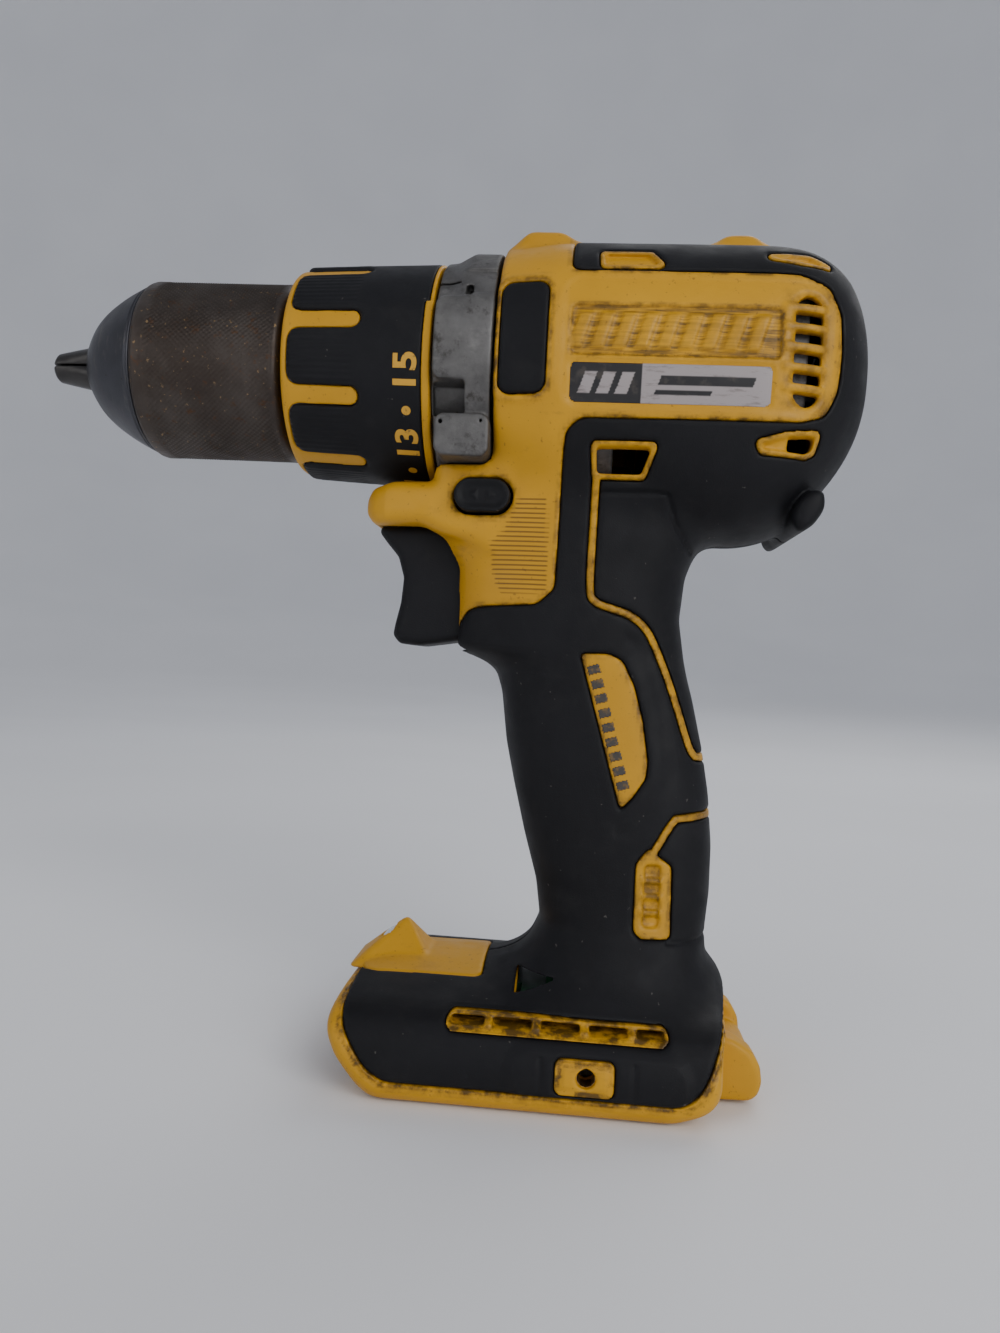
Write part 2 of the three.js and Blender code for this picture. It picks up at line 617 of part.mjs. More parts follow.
function spindle() {
  const shaft = turned([
    [-74, 0], [-74, 5.6], [-50.4, 5.6], [-50.4, 7.6], [-46.6, 7.6], [-46.6, 5], [-24, 5], [-24, 8],
    [-11, 8], [-11, 17], [-8.3, 17], [-8.3, 0],
  ], 16)
  const thread = ring(-75, -57, 2.9, 0, 8)
  return shaft.add(union(planetPins(-8.4, -0.8))).subtract(thread)
}

function carrierOne() {
  return union(sunGear(-7.9, 2.1), ring(2, 5, 16.8, 0, 20), planetPins(4.9, 12.4))
}

// Die-cast case: a stepped drum with a raised plate, a pocket and a block on each side
function gearCase() {
  const cast = turned([
    [-47, 13], [-47, 15.2], [-17.4, 15.2], [-13.4, 19.6], [-12.9, 25.8], [-12.4, 26.8], [-9.6, 27.2],
    [-6.4, 28.8], [0.5, 29.2], [0.5, 24.1], [14, 24.1], [14, 21.9], [-10.6, 21.9],
    [-12, 17.4], [-16, 9], [-30, 9], [-30, 13], [-47, 13],
  ], 28)
  const shellOf = (x0, x1, z0, z1, outer, inner) => [[-40, -12], [12, 40]].map(([y0, y1]) =>
    box(x0, x1, y0, y1, z0, z1).intersect(ring(x0 - 1, x1 + 1, outer, inner, 28)))
  const plates = shellOf(-12.5, 0.5, -7.5, 11.4, 29.3, 23)
  const pockets = shellOf(-13.5, -5.1, -14.5, -7.6, 40, 22.8)
  const blocks = [[-26.9, -15], [15, 26.9]].map(([y0, y1]) =>
    box(-11.7, 0.6, y0, y1, -23.9, -14.6).subtract(ring(-14, 2, 22.4, 0, 28)))
  const flat = box(-60, 20, -40, 40, -60, -27.6)
  return cast.add(union(plates)).subtract(union(pockets)).add(union(blocks)).subtract(flat)
}

// ---- Motor --------------------------------------------------------------------------------------
function rotor() {
  const pinion = sunGear(5.5, 13.6)
  const shaft = turned([
    [13.5, 0], [13.5, 3.7], [34.5, 3.7], [34.5, 12], [57.5, 12], [57.5, 3.7], [81.5, 3.7], [81.5, 0],
  ], 16)
  return pinion.add(shaft)
}

function stator() {
  const core = ring(34, 58, 24, 20.6, 24)
  const poles = Array.from({ length: 6 }, (_, number) => {
    const arm = box(34, 58, 13, 21.2, -3.4, 3.4)
    const winding = box(32.2, 59, 15, 19.4, -5.4, 5.4)
    return arm.add(winding).rotate([60 * number, 0, 0])
  })
  return core.add(union(poles))
}

function fan() {
  const blades = Array.from({ length: 9 }, (_, number) =>
    box(66.6, 73, 9, 22.5, -0.7, 0.7).rotate([40 * number, 0, 0]))
  const plate = ring(65, 67, 23, 4, 20)
  const hub = ring(65, 73, 9.4, 4, 16)
  return union(plate, hub, blades)
}

const bearing = (x0, x1, outer, inner) => {
  const profile = [
    [x0, inner], [x0, inner + 1.6], [x0 + 0.6, inner + 1.9], [x0 + 0.6, outer - 1.9], [x0, outer - 1.6],
    [x0, outer], [x1, outer], [x1, inner], [x0, inner],
  ]
  return turned(profile, 16)
}

function motorPlate() {
  return turned([
    [14.4, 6.8], [14.4, 24], [16.4, 24], [16.4, 12], [22, 12], [22, 9.8], [16.3, 9.8], [16.3, 6.8],
    [14.4, 6.8],
  ], 20)
}

// ---- Controls -----------------------------------------------------------------------------------
function trigger() {
  const body = prismY(TRIGGER, -TRIGGER_HALF_WIDTH, TRIGGER_HALF_WIDTH)
  const plan = [
    [-28, -5.4], [-23, -7.8], [-17, -8.8], [0, -8.8], [0, 8.8], [-17, 8.8], [-23, 7.8], [-28, 5.4],
  ]
  const plunger = rod([-3, 0, -52], [12, 0, -52], 2, 10)
  return body.intersect(prismZ(plan, -75, -35)).add(plunger)
}

function switchModule() {
  return box(6.5, 33, -9.5, 9.5, -62, -36).subtract(rod([5, 0, -52], [21, 0, -52], 2.6, 12))
    .add(box(12, 30, -7, 7, -36.2, -30.5)).subtract(box(3, 40, -FAR, FAR, -30.6, -20))
}

function buttonForm(growth, half) {
  const { x, z, length, height } = BUTTON
  const radius = height / 2 + growth
  const reach = (length - height) / 2
  const outline = []
  for (const way of [1, -1]) {
    for (let i = 0; i <= 6; i++) {
      const angle = (Math.PI * i) / 6 - Math.PI / 2
      outline.push([x + way * (reach + radius * Math.cos(angle)), z + way * radius * Math.sin(angle)])
    }
  }
  return prismY(outline, -half, half)
}

function speedSelector() {
  const ridges = [30.2, 32.9, 35.6].map((x) =>
    prismY([[x - 0.9, 31], [x - 0.4, 32.3], [x + 0.4, 32.3], [x + 0.9, 31]], -4.4, 4.4))
  return box(29, 36.8, -4.4, 4.4, 29.4, 31.7).add(union(ridges))
}

function shiftBracket() {
  const fork = ring(5, 8, 25.8, 24.6, 24).intersect(box(4, 9, -30, 30, -2, 30))
  const strap = box(7.8, 36.6, -3.5, 3.5, 24.8, 25.7)
  const lug = box(30, 36.6, -3.5, 3.5, 25.6, 29)
  return union(fork, strap, lug)
}

// ---- Foot ---------------------------------------------------------------------------------------
// The lamp cover's seat in the top of the foot, down to a depth below its surface
const plateRoom = (growth, depth) =>
  prismZ(inset(LED_PLAN, -growth), -150, -120).subtract(footForm(depth))

function ledHood() {
  const plate = plateRoom(0, LED_THICKNESS).intersect(footForm(0))
  const hood = prismY(HOOD_SIDE, -FAR, FAR).intersect(prismX(HOOD_END, -40, 0))
    .subtract(footForm(LED_THICKNESS / 2))
  return plate.add(hood).subtract(rod(LENS_SEAT.from, LENS_SEAT.to, LENS_SEAT.radius, 16))
}

const ledLens = () => rod(LENS.from, LENS.to, LENS.radius, 16)

function terminalBlock() {
  const block = box(13.4, 44.6, -20.4, 20.4, -158, -147.7)
  const contacts = [-15, -9, 0, 9, 15].map((y) => box(10, 34, y - 0.7, y + 0.7, -156.4, -151.4))
  return block.subtract(union(contacts))
}

function controlModule() {
  const board = box(-6, 30, -9, 9, -147, -145).add(box(14, 30, -16, 16, -147, -145))
  return board.add(box(19.6, 30, -8, 8, -145.2, -137.2))
}

function insert(side) {
  const { x, z, outer, bore, inner, face } = INSERT
  const sleeve = rodY(x, z, side * inner, side * face, outer, 12)
  return sleeve.subtract(rodY(x, z, side * (inner - 1), side * (face + 1), bore, 10))
}

function screw([, x, z, half]) {
  const head = rodY(x, z, half - 8, half - 5.6, 3.2, 8)
  const slot = (wide, high) => box(x - wide, x + wide, half - 6.8, half, z - high, z + high)
  const cross = slot(2, 0.4).add(slot(0.4, 2))
  return head.add(rodY(x, z, -half + 7, half - 7.8, 1.5, 6)).subtract(cross)
}

const SUPPLY_ROUTE = [[41, -147.2], [41, -138], [38, -128], [33, -110], [26, -92], [21, -76], [20, -62.4]]
const PHASE_ROUTE = [
  [26, -136.8], [27, -128], [33, -112], [37, -92], [39, -72], [39.4, -54], [39, -44], [36, -36],
  [34, -30], [33.4, -26.4],
]

function lead(route, y, steps) {
  return tube(route.map(([x, z]) => new THREE.Vector3(x, y, z)), LEAD_RADIUS, steps, 6)
}

// ---- Assembly -----------------------------------------------------------------------------------
function finish(color, roughness, metalness = 0) {
  return new THREE.MeshStandardMaterial({ color, roughness, metalness })
}
const YELLOW = finish(0xf2b40a, 0.5)
const RUBBER = finish(0x202226, 0.8)
const STEEL = finish(0x6e6a64, 0.4, 1)
const DARK_STEEL = finish(0x4a4a4c, 0.4, 1)
const CAST = finish(0x8c8d8e, 0.5, 1)
const BRASS = finish(0xb58b3c, 0.4, 1)
const COPPER = finish(0x9a5a34, 0.5, 1)
const PLASTIC = finish(0x18191b, 0.5)
const BOARD = finish(0x1c4a2c, 0.6)
const CLEAR = finish(0xdfe6ea, 0.1)
const RED = finish(0x9c1f1c, 0.5)
const BLACK_WIRE = finish(0x141414, 0.5)

const drill = new THREE.Group()
drill.position.set(-(JAW_TIP_X + REAR_X) / 2, 0, SPINDLE_HEIGHT)

function add(name, shape, material) {
  const mesh = new THREE.Mesh(geometryOf(shape), material)
  mesh.name = name
  drill.add(mesh)
}

for (const [name, side] of [['left', -1], ['right', 1]]) {
  add(`shell_${name}`, shell(side), YELLOW)
  add(`grip_${name}`, grip(side), RUBBER)
  add(`front_pad_${name}`, padForm(0, side), RUBBER)
  add(`hook_insert_${name}`, insert(side), BRASS)
}
for (const site of SCREWS) add(site[0], screw(site), DARK_STEEL)

add('chuck_nose', chuckNose(), DARK_STEEL)
add('chuck_body', chuckBody(), STEEL)
add('chuck_sleeve', chuckSleeve(), STEEL)
add('jaw_nut', jawNut(), STEEL)
for (let number = 0; number < JAWS; number++) add(`jaw_${number + 1}`, jaw(number), DARK_STEEL)
add('chuck_screw', ring(-79.4, -75.3, 4.2, 0, 16).add(ring(-75.4, -58, 2.5, 0, 12)), DARK_STEEL)

add('clutch_collar', clutchCollar(), YELLOW)
add('collar_grip', collarGrip(), RUBBER)
add('clutch_spring', clutchSpring(), STEEL)
add('clutch_plate', ring(-20.4, -18.8, 19.4, 15.6, 24), STEEL)

add('gear_case', gearCase(), CAST)
add('spindle', spindle(), STEEL)
add('spindle_bearing', bearing(-39.6, -31.6, 12.7, 5.3), STEEL)
add('ring_gear_output', ringGear(-8.4, 0.6), STEEL)
add('ring_gear_input', ringGear(5.2, 12.6), STEEL)
add('sun_carrier', carrierOne(), STEEL)
for (let number = 0; number < PLANETS; number++) {
  add(`planet_output_${number + 1}`, planetGear(-7.9, -1.2, number), STEEL)
  add(`planet_input_${number + 1}`, planetGear(5.4, 11.8, number), STEEL)
}
add('speed_selector', speedSelector(), YELLOW)
add('shift_bracket', shiftBracket(), STEEL)

add('motor_plate', motorPlate(), CAST)
add('rotor', rotor(), DARK_STEEL)
add('stator', stator(), COPPER)
add('fan', fan(), PLASTIC)
add('motor_bearing_front', bearing(16.7, 21.7, 9.5, 4), STEEL)
add('motor_bearing_rear', bearing(75.6, 80.6, 9.5, 4), STEEL)
add('sensor_board', ring(60, 61.6, 22, 8, 24), BOARD)

add('trigger', trigger(), RUBBER)
add('switch_module', switchModule(), PLASTIC)
add('direction_button', buttonForm(0, BUTTON.halfWidth), RUBBER)
add('control_module', controlModule(), BOARD)
add('terminal_block', terminalBlock(), PLASTIC)
add('led_hood', ledHood(), YELLOW)
add('led_lens', ledLens(), CLEAR)
for (const [name, y, material] of [['positive', -3.2, RED], ['negative', 3.2, BLACK_WIRE]]) {
  add(`supply_lead_${name}`, lead(SUPPLY_ROUTE, y, 12), material)
}
for (let number = 0; number < 3; number++) {
  add(`phase_lead_${number + 1}`, lead(PHASE_ROUTE, 6.4 * (number - 1), 16), BLACK_WIRE)
}

const product = new THREE.Group()
product.add(drill)
product.updateMatrixWorld(true)

export default product
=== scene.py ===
"""Cordless drill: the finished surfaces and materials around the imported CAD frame.

Lengths are millimetres in the spindle frame (X along the spindle to the rear, Z up, the axis at Y = Z = 0)
until a mesh is made, which moves them to metres in the frame's own axes.
"""

import json
import math

import bmesh
import bpy
import numpy as np
import openvdb as vdb
from mathutils import Matrix, Vector


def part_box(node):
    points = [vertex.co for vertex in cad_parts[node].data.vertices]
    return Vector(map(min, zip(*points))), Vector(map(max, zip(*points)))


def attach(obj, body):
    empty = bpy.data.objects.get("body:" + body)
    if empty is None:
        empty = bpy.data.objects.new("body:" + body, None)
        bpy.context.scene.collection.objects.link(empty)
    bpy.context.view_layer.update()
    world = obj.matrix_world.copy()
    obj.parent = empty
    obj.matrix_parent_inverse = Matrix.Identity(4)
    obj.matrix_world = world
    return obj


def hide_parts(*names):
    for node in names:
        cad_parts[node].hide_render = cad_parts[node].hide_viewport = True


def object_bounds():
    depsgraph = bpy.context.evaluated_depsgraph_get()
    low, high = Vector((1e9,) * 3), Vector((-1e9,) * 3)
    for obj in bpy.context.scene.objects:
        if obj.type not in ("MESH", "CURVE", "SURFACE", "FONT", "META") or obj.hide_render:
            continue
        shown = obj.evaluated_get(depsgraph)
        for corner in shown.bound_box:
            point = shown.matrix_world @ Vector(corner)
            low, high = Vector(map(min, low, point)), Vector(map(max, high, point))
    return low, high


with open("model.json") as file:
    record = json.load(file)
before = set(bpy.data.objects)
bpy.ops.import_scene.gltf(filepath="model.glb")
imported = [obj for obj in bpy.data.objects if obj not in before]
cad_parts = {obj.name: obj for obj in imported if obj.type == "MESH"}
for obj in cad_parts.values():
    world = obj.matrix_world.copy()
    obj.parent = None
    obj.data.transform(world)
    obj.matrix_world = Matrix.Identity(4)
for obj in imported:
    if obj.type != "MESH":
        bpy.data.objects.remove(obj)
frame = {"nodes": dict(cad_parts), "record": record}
cad_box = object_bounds()

# ---- Frame and camera ---------------------------------------------------------------------------
MM = 0.001
SLEEVE_FRONT_X = -85.5
sleeve_low, sleeve_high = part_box("chuck_sleeve")
AXIS = np.array([
    sleeve_low[0] - SLEEVE_FRONT_X * MM,
    0.0,
    (sleeve_low[2] + sleeve_high[2]) / 2,
])
FLOOR_Z = cad_box[0][2]

CAMERA_OFFSET = (23.7, -242.9, -70.3)
CAMERA_YAW = math.radians(4.66)
CAMERA_ROLL = math.radians(-3.1)
CAMERA_LENS = 26.6


def make_camera():
    data = bpy.data.cameras.new("camera")
    data.lens = CAMERA_LENS
    data.clip_start = 0.01
    camera = bpy.data.objects.new("camera", data)
    bpy.context.collection.objects.link(camera)
    place = Matrix.Translation(Vector(AXIS) + Vector(CAMERA_OFFSET) * MM)
    turn = Matrix.Rotation(CAMERA_YAW, 4, "Z") @ Matrix.Rotation(math.pi / 2, 4, "X")
    camera.matrix_world = place @ turn @ Matrix.Rotation(-CAMERA_ROLL, 4, "Z")
    bpy.context.scene.camera = camera


make_camera()

# ---- Shapes as distance fields ------------------------------------------------------------------
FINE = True
STEP = 0.5 if FINE else 0.9


class Grid:
    """Regular sample points between two corners, in mm."""

    def __init__(self, low, high, step):
        self.low = np.array(low, dtype=np.float32)
        self.step = step
        axes = [
            np.arange(low[i], high[i] + step, step, dtype=np.float32) for i in range(3)
        ]
        self.x = axes[0][:, None, None]
        self.y = axes[1][None, :, None]
        self.z = axes[2][None, None, :]


def soft_min(a, b, reach):
    share = np.clip(0.5 + 0.5 * (b - a) / reach, 0, 1)
    return b + (a - b) * share - reach * share * (1 - share)


def soft_max(a, b, reach):
    return -soft_min(-a, -b, reach)


def cut(shape, tool, reach=0.0):
    """The shape without the tool, with its new edges rounded by reach."""
    return soft_max(shape, -tool, reach) if reach else np.maximum(shape, -tool)


def stroke(a, b, points):
    """Distance to an open line."""
    nearest = np.full(np.broadcast(a, b).shape, 1e9, dtype=np.float32)
    for (a0, b0), (a1, b1) in zip(points, points[1:]):
        da, db = a1 - a0, b1 - b0
        share = np.clip(((a - a0) * da + (b - b0) * db) / (da * da + db * db), 0, 1)
        nearest = np.minimum(nearest, (a - a0 - da * share) ** 2 + (b - b0 - db * share) ** 2)
    return np.sqrt(nearest)


def polygon(a, b, points):
    """Signed distance to a closed outline, negative inside."""
    closed = points + points[:1]
    inside = np.zeros(np.broadcast(a, b).shape, dtype=bool)
    for (a0, b0), (a1, b1) in zip(closed, closed[1:]):
        if b1 != b0:
            inside ^= ((b0 > b) != (b1 > b)) & (a < (a1 - a0) * (b - b0) / (b1 - b0) + a0)
    return np.where(inside, -1, 1) * stroke(a, b, closed)


def box2(a, b, a0, a1, b0, b1, radius=0.0):
    """Signed distance to a rectangle with round corners."""
    da = np.abs(a - (a0 + a1) / 2) - (a1 - a0) / 2 + radius
    db = np.abs(b - (b0 + b1) / 2) - (b1 - b0) / 2 + radius
    outside = np.hypot(np.maximum(da, 0), np.maximum(db, 0))
    return outside + np.minimum(np.maximum(da, db), 0) - radius


def rect(g, x0, x1, z0, z1, radius=0.0):
    """box2 in x, z."""
    return box2(g.x, g.z, x0, x1, z0, z1, radius)


def blurred(field, radius, axes):
    """The field smoothed along some axes, which rounds an outline's corners."""
    count = max(1, int(round(radius / STEP)))
    weights = np.hanning(2 * count + 3)[1:-1]
    weights /= weights.sum()
    for axis in axes:
        padding = [(count, count) if i == axis else (0, 0) for i in range(field.ndim)]
        padded = np.pad(field, padding, mode="reflect", reflect_type="odd")
        length = field.shape[axis]
        field = sum(
            weight * np.take(padded, range(i, i + length), axis=axis)
            for i, weight in enumerate(weights)
        )
    return field


def rounded(g, points, radius):
    """Signed distance to an x, z outline with its corners rounded."""
    return blurred(polygon(g.x, g.z, points), radius, (0, 2))


def smooth_path(points, samples=6):
    """Catmull-Rom curve through the points."""
    ends = [points[0], *points, points[-1]]
    path = []
    for p0, p1, p2, p3 in zip(ends, ends[1:], ends[2:], ends[3:]):
        for i in range(samples):
            t = i / samples
            path.append(tuple(
                0.5 * (2 * b + (c - a) * t + (2 * a - 5 * b + 4 * c - d) * t * t
                       + (3 * b - a - 3 * c + d) * t ** 3)
                for a, b, c, d in zip(p0, p1, p2, p3)
            ))
    return path + [points[-1]]


def link_mesh(name, points, polygons):
    """A mesh object from points in spindle-frame mm and one or more arrays of faces."""
    mesh = bpy.data.meshes.new(name)
    points = np.asarray(points, dtype=np.float32) * MM + AXIS.astype(np.float32)
    mesh.vertices.add(len(points))
    mesh.vertices.foreach_set("co", points.ravel())
    loops = np.concatenate([faces.ravel() for faces in polygons if len(faces)])
    sizes = np.concatenate([np.full(len(faces), faces.shape[1]) for faces in polygons if len(faces)])
    mesh.loops.add(len(loops))
    mesh.loops.foreach_set("vertex_index", loops.astype(np.int32))
    mesh.polygons.add(len(sizes))
    starts = np.concatenate([[0], np.cumsum(sizes)[:-1]])
    mesh.polygons.foreach_set("loop_start", starts.astype(np.int32))
    mesh.polygons.foreach_set("use_smooth", np.full(len(sizes), True))
    mesh.update(calc_edges=True)
    mesh.validate()
    piece = bpy.data.objects.new(name, mesh)
    bpy.context.collection.objects.link(piece)
    return piece


def surface(grid, field):
    """Points in mm and faces where the field is zero."""
    volume = vdb.FloatGrid(grid.step * 3)
    volume.copyFromArray(np.ascontiguousarray(np.clip(field, -2, 2), dtype=np.float32))
    points, triangles, quads = volume.convertToPolygons(isovalue=0.0, adaptivity=0.0)
    return points * grid.step + grid.low, [triangles[:, ::-1], quads[:, ::-1]]


def skin(node, grid, field):
    """The piece that stands for one CAD node."""
    return link_mesh(f"{node}_skin", *surface(grid, field))


def flip(points, polygons):
    """The mirror image in the seam plane."""
    return points * np.array([1, -1, 1], dtype=np.float32), [faces[:, ::-1] for faces in polygons]


def attribute(piece, name, values):
    data = piece.data.attributes.new(name, "FLOAT", "POINT")
    data.data.foreach_set("value", np.asarray(values, dtype=np.float32))


def sample(grid, plane, points):
    """Values of an x, z field at points in mm."""
    steps = (points - grid.low) / grid.step
    rows = np.clip(np.rint(steps[:, 0]).astype(int), 0, plane.shape[0] - 1)
    columns = np.clip(np.rint(steps[:, 2]).astype(int), 0, plane.shape[2] - 1)
    return plane[rows, 0, columns]


# ---- Housing ------------------------------------------------------------------------------------
WALL = 3.4
GRIP_DEPTH = 1.7
SEAM = 0.08
YELLOW_DROP = 0.35
DOME_X = 56
REAR_X = 86.9
BARREL_POWER = 2.25
HANDLE_POWER = 2.6
BARREL = [  # x, half width, height, depth
    (1, 29.3, 29.5, 28.5), (14, 31.6, 31.2, 34), (50, 32, 31.3, 38.4), (70, 32, 31.3, 38.6),
    (88, 31, 31, 31),
]
HANDLE = [  # z, front x, rear x, half width
    (-16, -4, 50, 20), (-38, -11.4, 49.9, 20.6), (-42, -11.2, 49.3, 20.5), (-47, -8.3, 47.6, 20),
    (-57, -8, 46.8, 19.2), (-66.4, -8.4, 48.4, 18.3), (-68.2, -1, 48.8, 17.9), (-71, 3.2, 49.5, 17.6),
    (-76, 4.9, 51, 17.3), (-88, 6.6, 54, 17.1), (-98, 9, 55.9, 17.1), (-110, 12.2, 57.2, 17.1),
    (-121, 15.6, 57.3, 17.4), (-130, 17, 56.6, 18.2), (-136, 14.6, 57, 21.5), (-143, 10, 58, 25),
]
FOOT_SIDE = [
    (-6, -139.4), (-18, -140), (-24.6, -142.6), (-27.9, -146.8), (-28.1, -151), (-25.4, -156.4),
    (-18, -165.4), (-12, -174), (46, -174), (50.6, -165.4), (54.6, -163.4), (57.4, -161),
    (58.7, -158), (58.7, -151), (61, -146), (61, -141.5), (59.8, -137.8), (57.6, -134),
    (55.2, -130.8), (54, -127), (17, -127), (11, -134.6), (6, -138.4),
]
FOOT_HALF = [  # y, z of the end outline from its bottom corner up
    (32, -174), (32, -166.6), (35.5, -162.8), (35.5, -155.5), (34.4, -151), (31.5, -147.4),
    (27, -145.2), (20, -143.4), (12, -141.6), (6, -140.1),
]
FOOT_END = [(0, -139.6), *[(-y, z) for y, z in reversed(FOOT_HALF)], *FOOT_HALF]
NOSE_SIDE = [
    (-28.2, -29), (-22.5, -27.4), (-13.1, -27.5), (-13.1, -22), (6, -22), (6, -34), (2, -44),
    (-10.4, -40.6), (-15.3, -38.3), (-27.4, -38.4), (-29.8, -35.6), (-29.7, -31.8),
]
HUMPS = [
    [(0.2, 24), (1.6, 29.4), (6, 33.7), (14.4, 33.7), (20.6, 30), (23, 24)],
    [(43.4, 24), (46.6, 30), (52.4, 33.7), (58.6, 33.8), (63.4, 30.6), (65, 24)],
]
REAR_LUG = [
    (58, -149.6), (62.3, -150.3), (66.6, -152.8), (68.8, -156.2), (69.4, -160), (68.6, -163),
    (66.6, -164.6), (58, -165.1),
]
REAR_BRIDGE = [
    (58, -155.6), (66, -156.6), (69, -158.4), (70, -161), (69.2, -163.8), (67, -165.1), (58, -165.1),
]
REAR_PAD = [(71.7, -27.4), (75.8, -27), (76, -31.4), (73.8, -35), (70.4, -37.4), (68.6, -34.4), (68.9, -31)]
TRIGGER_OUTLINE = [
    (-27.2, -38.9), (-25.2, -41.3), (-21.8, -45), (-20.2, -50), (-20.6, -56), (-21.8, -61.4),
    (-22.2, -64), (-20.4, -66), (-15.5, -66.3), (-8.4, -65.6), (-8.2, -56), (-8.2, -42),
    (-11.6, -37.4), (-26.6, -37.4),
]
PANEL = [
    (-60, 60), (17.4, 60), (17.4, 17.4), (66, 17.4), (73, 15), (75.7, 9), (76.3, 0), (75.9, -7.5),
    (73.4, -12.8), (68, -14.8), (60, -15.2), (20.8, -15.4), (17.8, -18), (17.4, -24), (17, -52),
    (13, -55.8), (0.1, -56.6), (-3.2, -57.4), (-5.3, -60.4), (-6.6, -70), (-60, -70),
]
BLACK_SIDE = [
    (-12, 40), (95, 40), (95, -50), (64, -60), (64, -138), (61, -143), (58.5, -145.8), (56.4, -151.4),
    (54.2, -156.2), (52, -159.2), (49, -160.4), (-13.6, -160.5), (-17.8, -158), (-23.4, -150.2),
    (-24.6, -145.6), (-24.6, -141), (-20, -136), (-14, -130), (-12, -60),
]
GRIP_LINE = [
    (25, -22), (24.9, -36), (24.9, -51), (26.2, -54.4), (30, -55.8), (34.4, -57.2), (38.6, -60.6),
    (42.7, -68.4), (46.4, -77.6), (49.2, -85.2), (50.8, -88.2), (53, -89.2), (62, -89.4),
]
HEEL_LINE = [(62, -102), (49, -102.9), (46.6, -104), (43.4, -109.4), (41.4, -113)]
HEEL_PLATE = [
    (41.6, -109.6), (44, -111.8), (47, -113.8), (47.3, -130.2), (40.4, -130.4), (38.6, -128.6),
    (38.6, -113.4),
]
HEEL_SLOT = (40.6, 44.4, -127.6, -113.6)
BADGE = [
    (23.4, -66.2), (30, -66), (33.2, -67.4), (36.2, -73), (38.6, -81), (40.2, -90), (40, -94),
    (37.4, -98.4), (34.4, -101.8),
]
WINDOW = [(24.6, -21), (36.6, -21), (34.8, -26.2), (25, -26.2)]
REAR_SLOT = [(59.8, -19.6), (65.4, -17.9), (71.6, -17), (71, -19.8), (69.6, -20.6), (60.4, -20.5)]
REAR_HOLE_X = 65.6
TOP_WINDOW = [(24.4, 22.2), (34.2, 22.2), (36.2, 19.2), (24.6, 19)]
TOP_SLOT = [(61, 22.3), (69, 22.7), (72.6, 20.9), (67, 21.2)]
SEAM_GROOVE = [(26.4, -30), (39.6, -29.9), (41.4, -31), (43.8, -36), (47.7, -41.3)]
BUTTON = (-7.3, 6.0, -35.6, -27.6)
FRONT_PAD = (2.3, 12.7, -10.5, 14.3)
BRAND_FIELD = (17.9, 62.3, -2.2, 8.7)
LABEL_FIELD = (18.1, 60.9, -12.2, -3.8)
HOOK_PLATE = (22.8, 35.6, -159.8, -152.2)
HOOK_PAD = (12.8, 51.4, -161.8, -150.4)
HOOK_HOLE = (29.5, -156.0)
FOOT_SLOT = (-0.9, 46.4, -148.9, -146.2)
FOOT_SLOT_BARS = (8, 18.4, 28.8, 39)
VENT_PITCH = 4.27
VENT_RIBS = [9.3 - VENT_PITCH * i for i in range(5)]
VENT_TOP, VENT_BOTTOM = 12.4, -11.4
CASE_EDGE = (-60, 1.1, -24.2, 60)
RIGHT_SCREWS = [  # x, z, half width of the housing there
    (10, 29.4, 11.5), (55, 29.4, 11.5), (-21.5, -33.4, 13), (63.5, -27.6, 20), (31, -72, 17.2),
    (47, -122, 16.6), (55, -149, 31),
]


def columns(table, at):
    """The table's columns interpolated along its first one and smoothed."""
    table = sorted(table)
    keys = [row[0] for row in table]
    near = [np.interp(at, keys, [row[i] for row in table]) for i in range(1, len(table[0]))]
    flat = [column.astype(np.float32) for column in near]
    axis = int(np.argmax(at.shape))
    return [blurred(column, 2.0, [axis]) for column in flat]


def superellipse(a, b, power, extra=0.0):
    return (np.abs(a) ** power + np.abs(b) ** power + extra) ** (1 / power)


def barrel_field(g):
    half, height, depth = columns(BARREL, g.x)
    tall = np.where(g.z > 0, g.z / height, g.z / depth)
    dome = np.maximum(g.x - DOME_X, 0)
    fullness = 2.5 + 0.8 * np.clip(g.z / 20, 0, 1) - 0.5 * np.clip(-g.z / 24, 0, 1)
    extra = (dome / (REAR_X - DOME_X)) ** fullness
    level = superellipse(g.y / half, tall, BARREL_POWER, extra)
    reach = np.sqrt(dome ** 2 + g.y ** 2 + g.z ** 2)
    field = reach * (1 - 1 / np.maximum(level, 0.05))
    return soft_max(field, 1.0 - g.x, 1.6)


def handle_field(g):
    front, rear, half = columns(HANDLE, g.z)
    middle, reach = (front + rear) / 2, (rear - front) / 2
    along = g.x - middle
    level = superellipse(along / reach, g.y / half, HANDLE_POWER)
    field = np.sqrt(along ** 2 + g.y ** 2) * (1 - 1 / np.maximum(level, 0.05))
    return soft_max(soft_max(field, g.z + 22, 2), -146 - g.z, 2)


def foot_field(g):
    side = rounded(g, FOOT_SIDE, 3.0)
    end = blurred(polygon(g.y, g.z, FOOT_END), 3.0, (1, 2))
    return soft_max(side, end, 4)


def nose_field(g):
    side = rounded(g, NOSE_SIDE, 1.5)
    width = np.interp(g.x, [-29, -24, -13, -8, 6], [12.6, 15.2, 17.8, 18.6, 20]).astype(np.float32)
    return soft_max(side, np.abs(g.y) - width, 4)


def hump_field(g):
    outline = np.minimum(*[polygon(g.x, g.z, points) for points in HUMPS])
    return soft_max(blurred(outline, 2.0, (0, 2)), np.abs(g.y) - 11.6, 3)


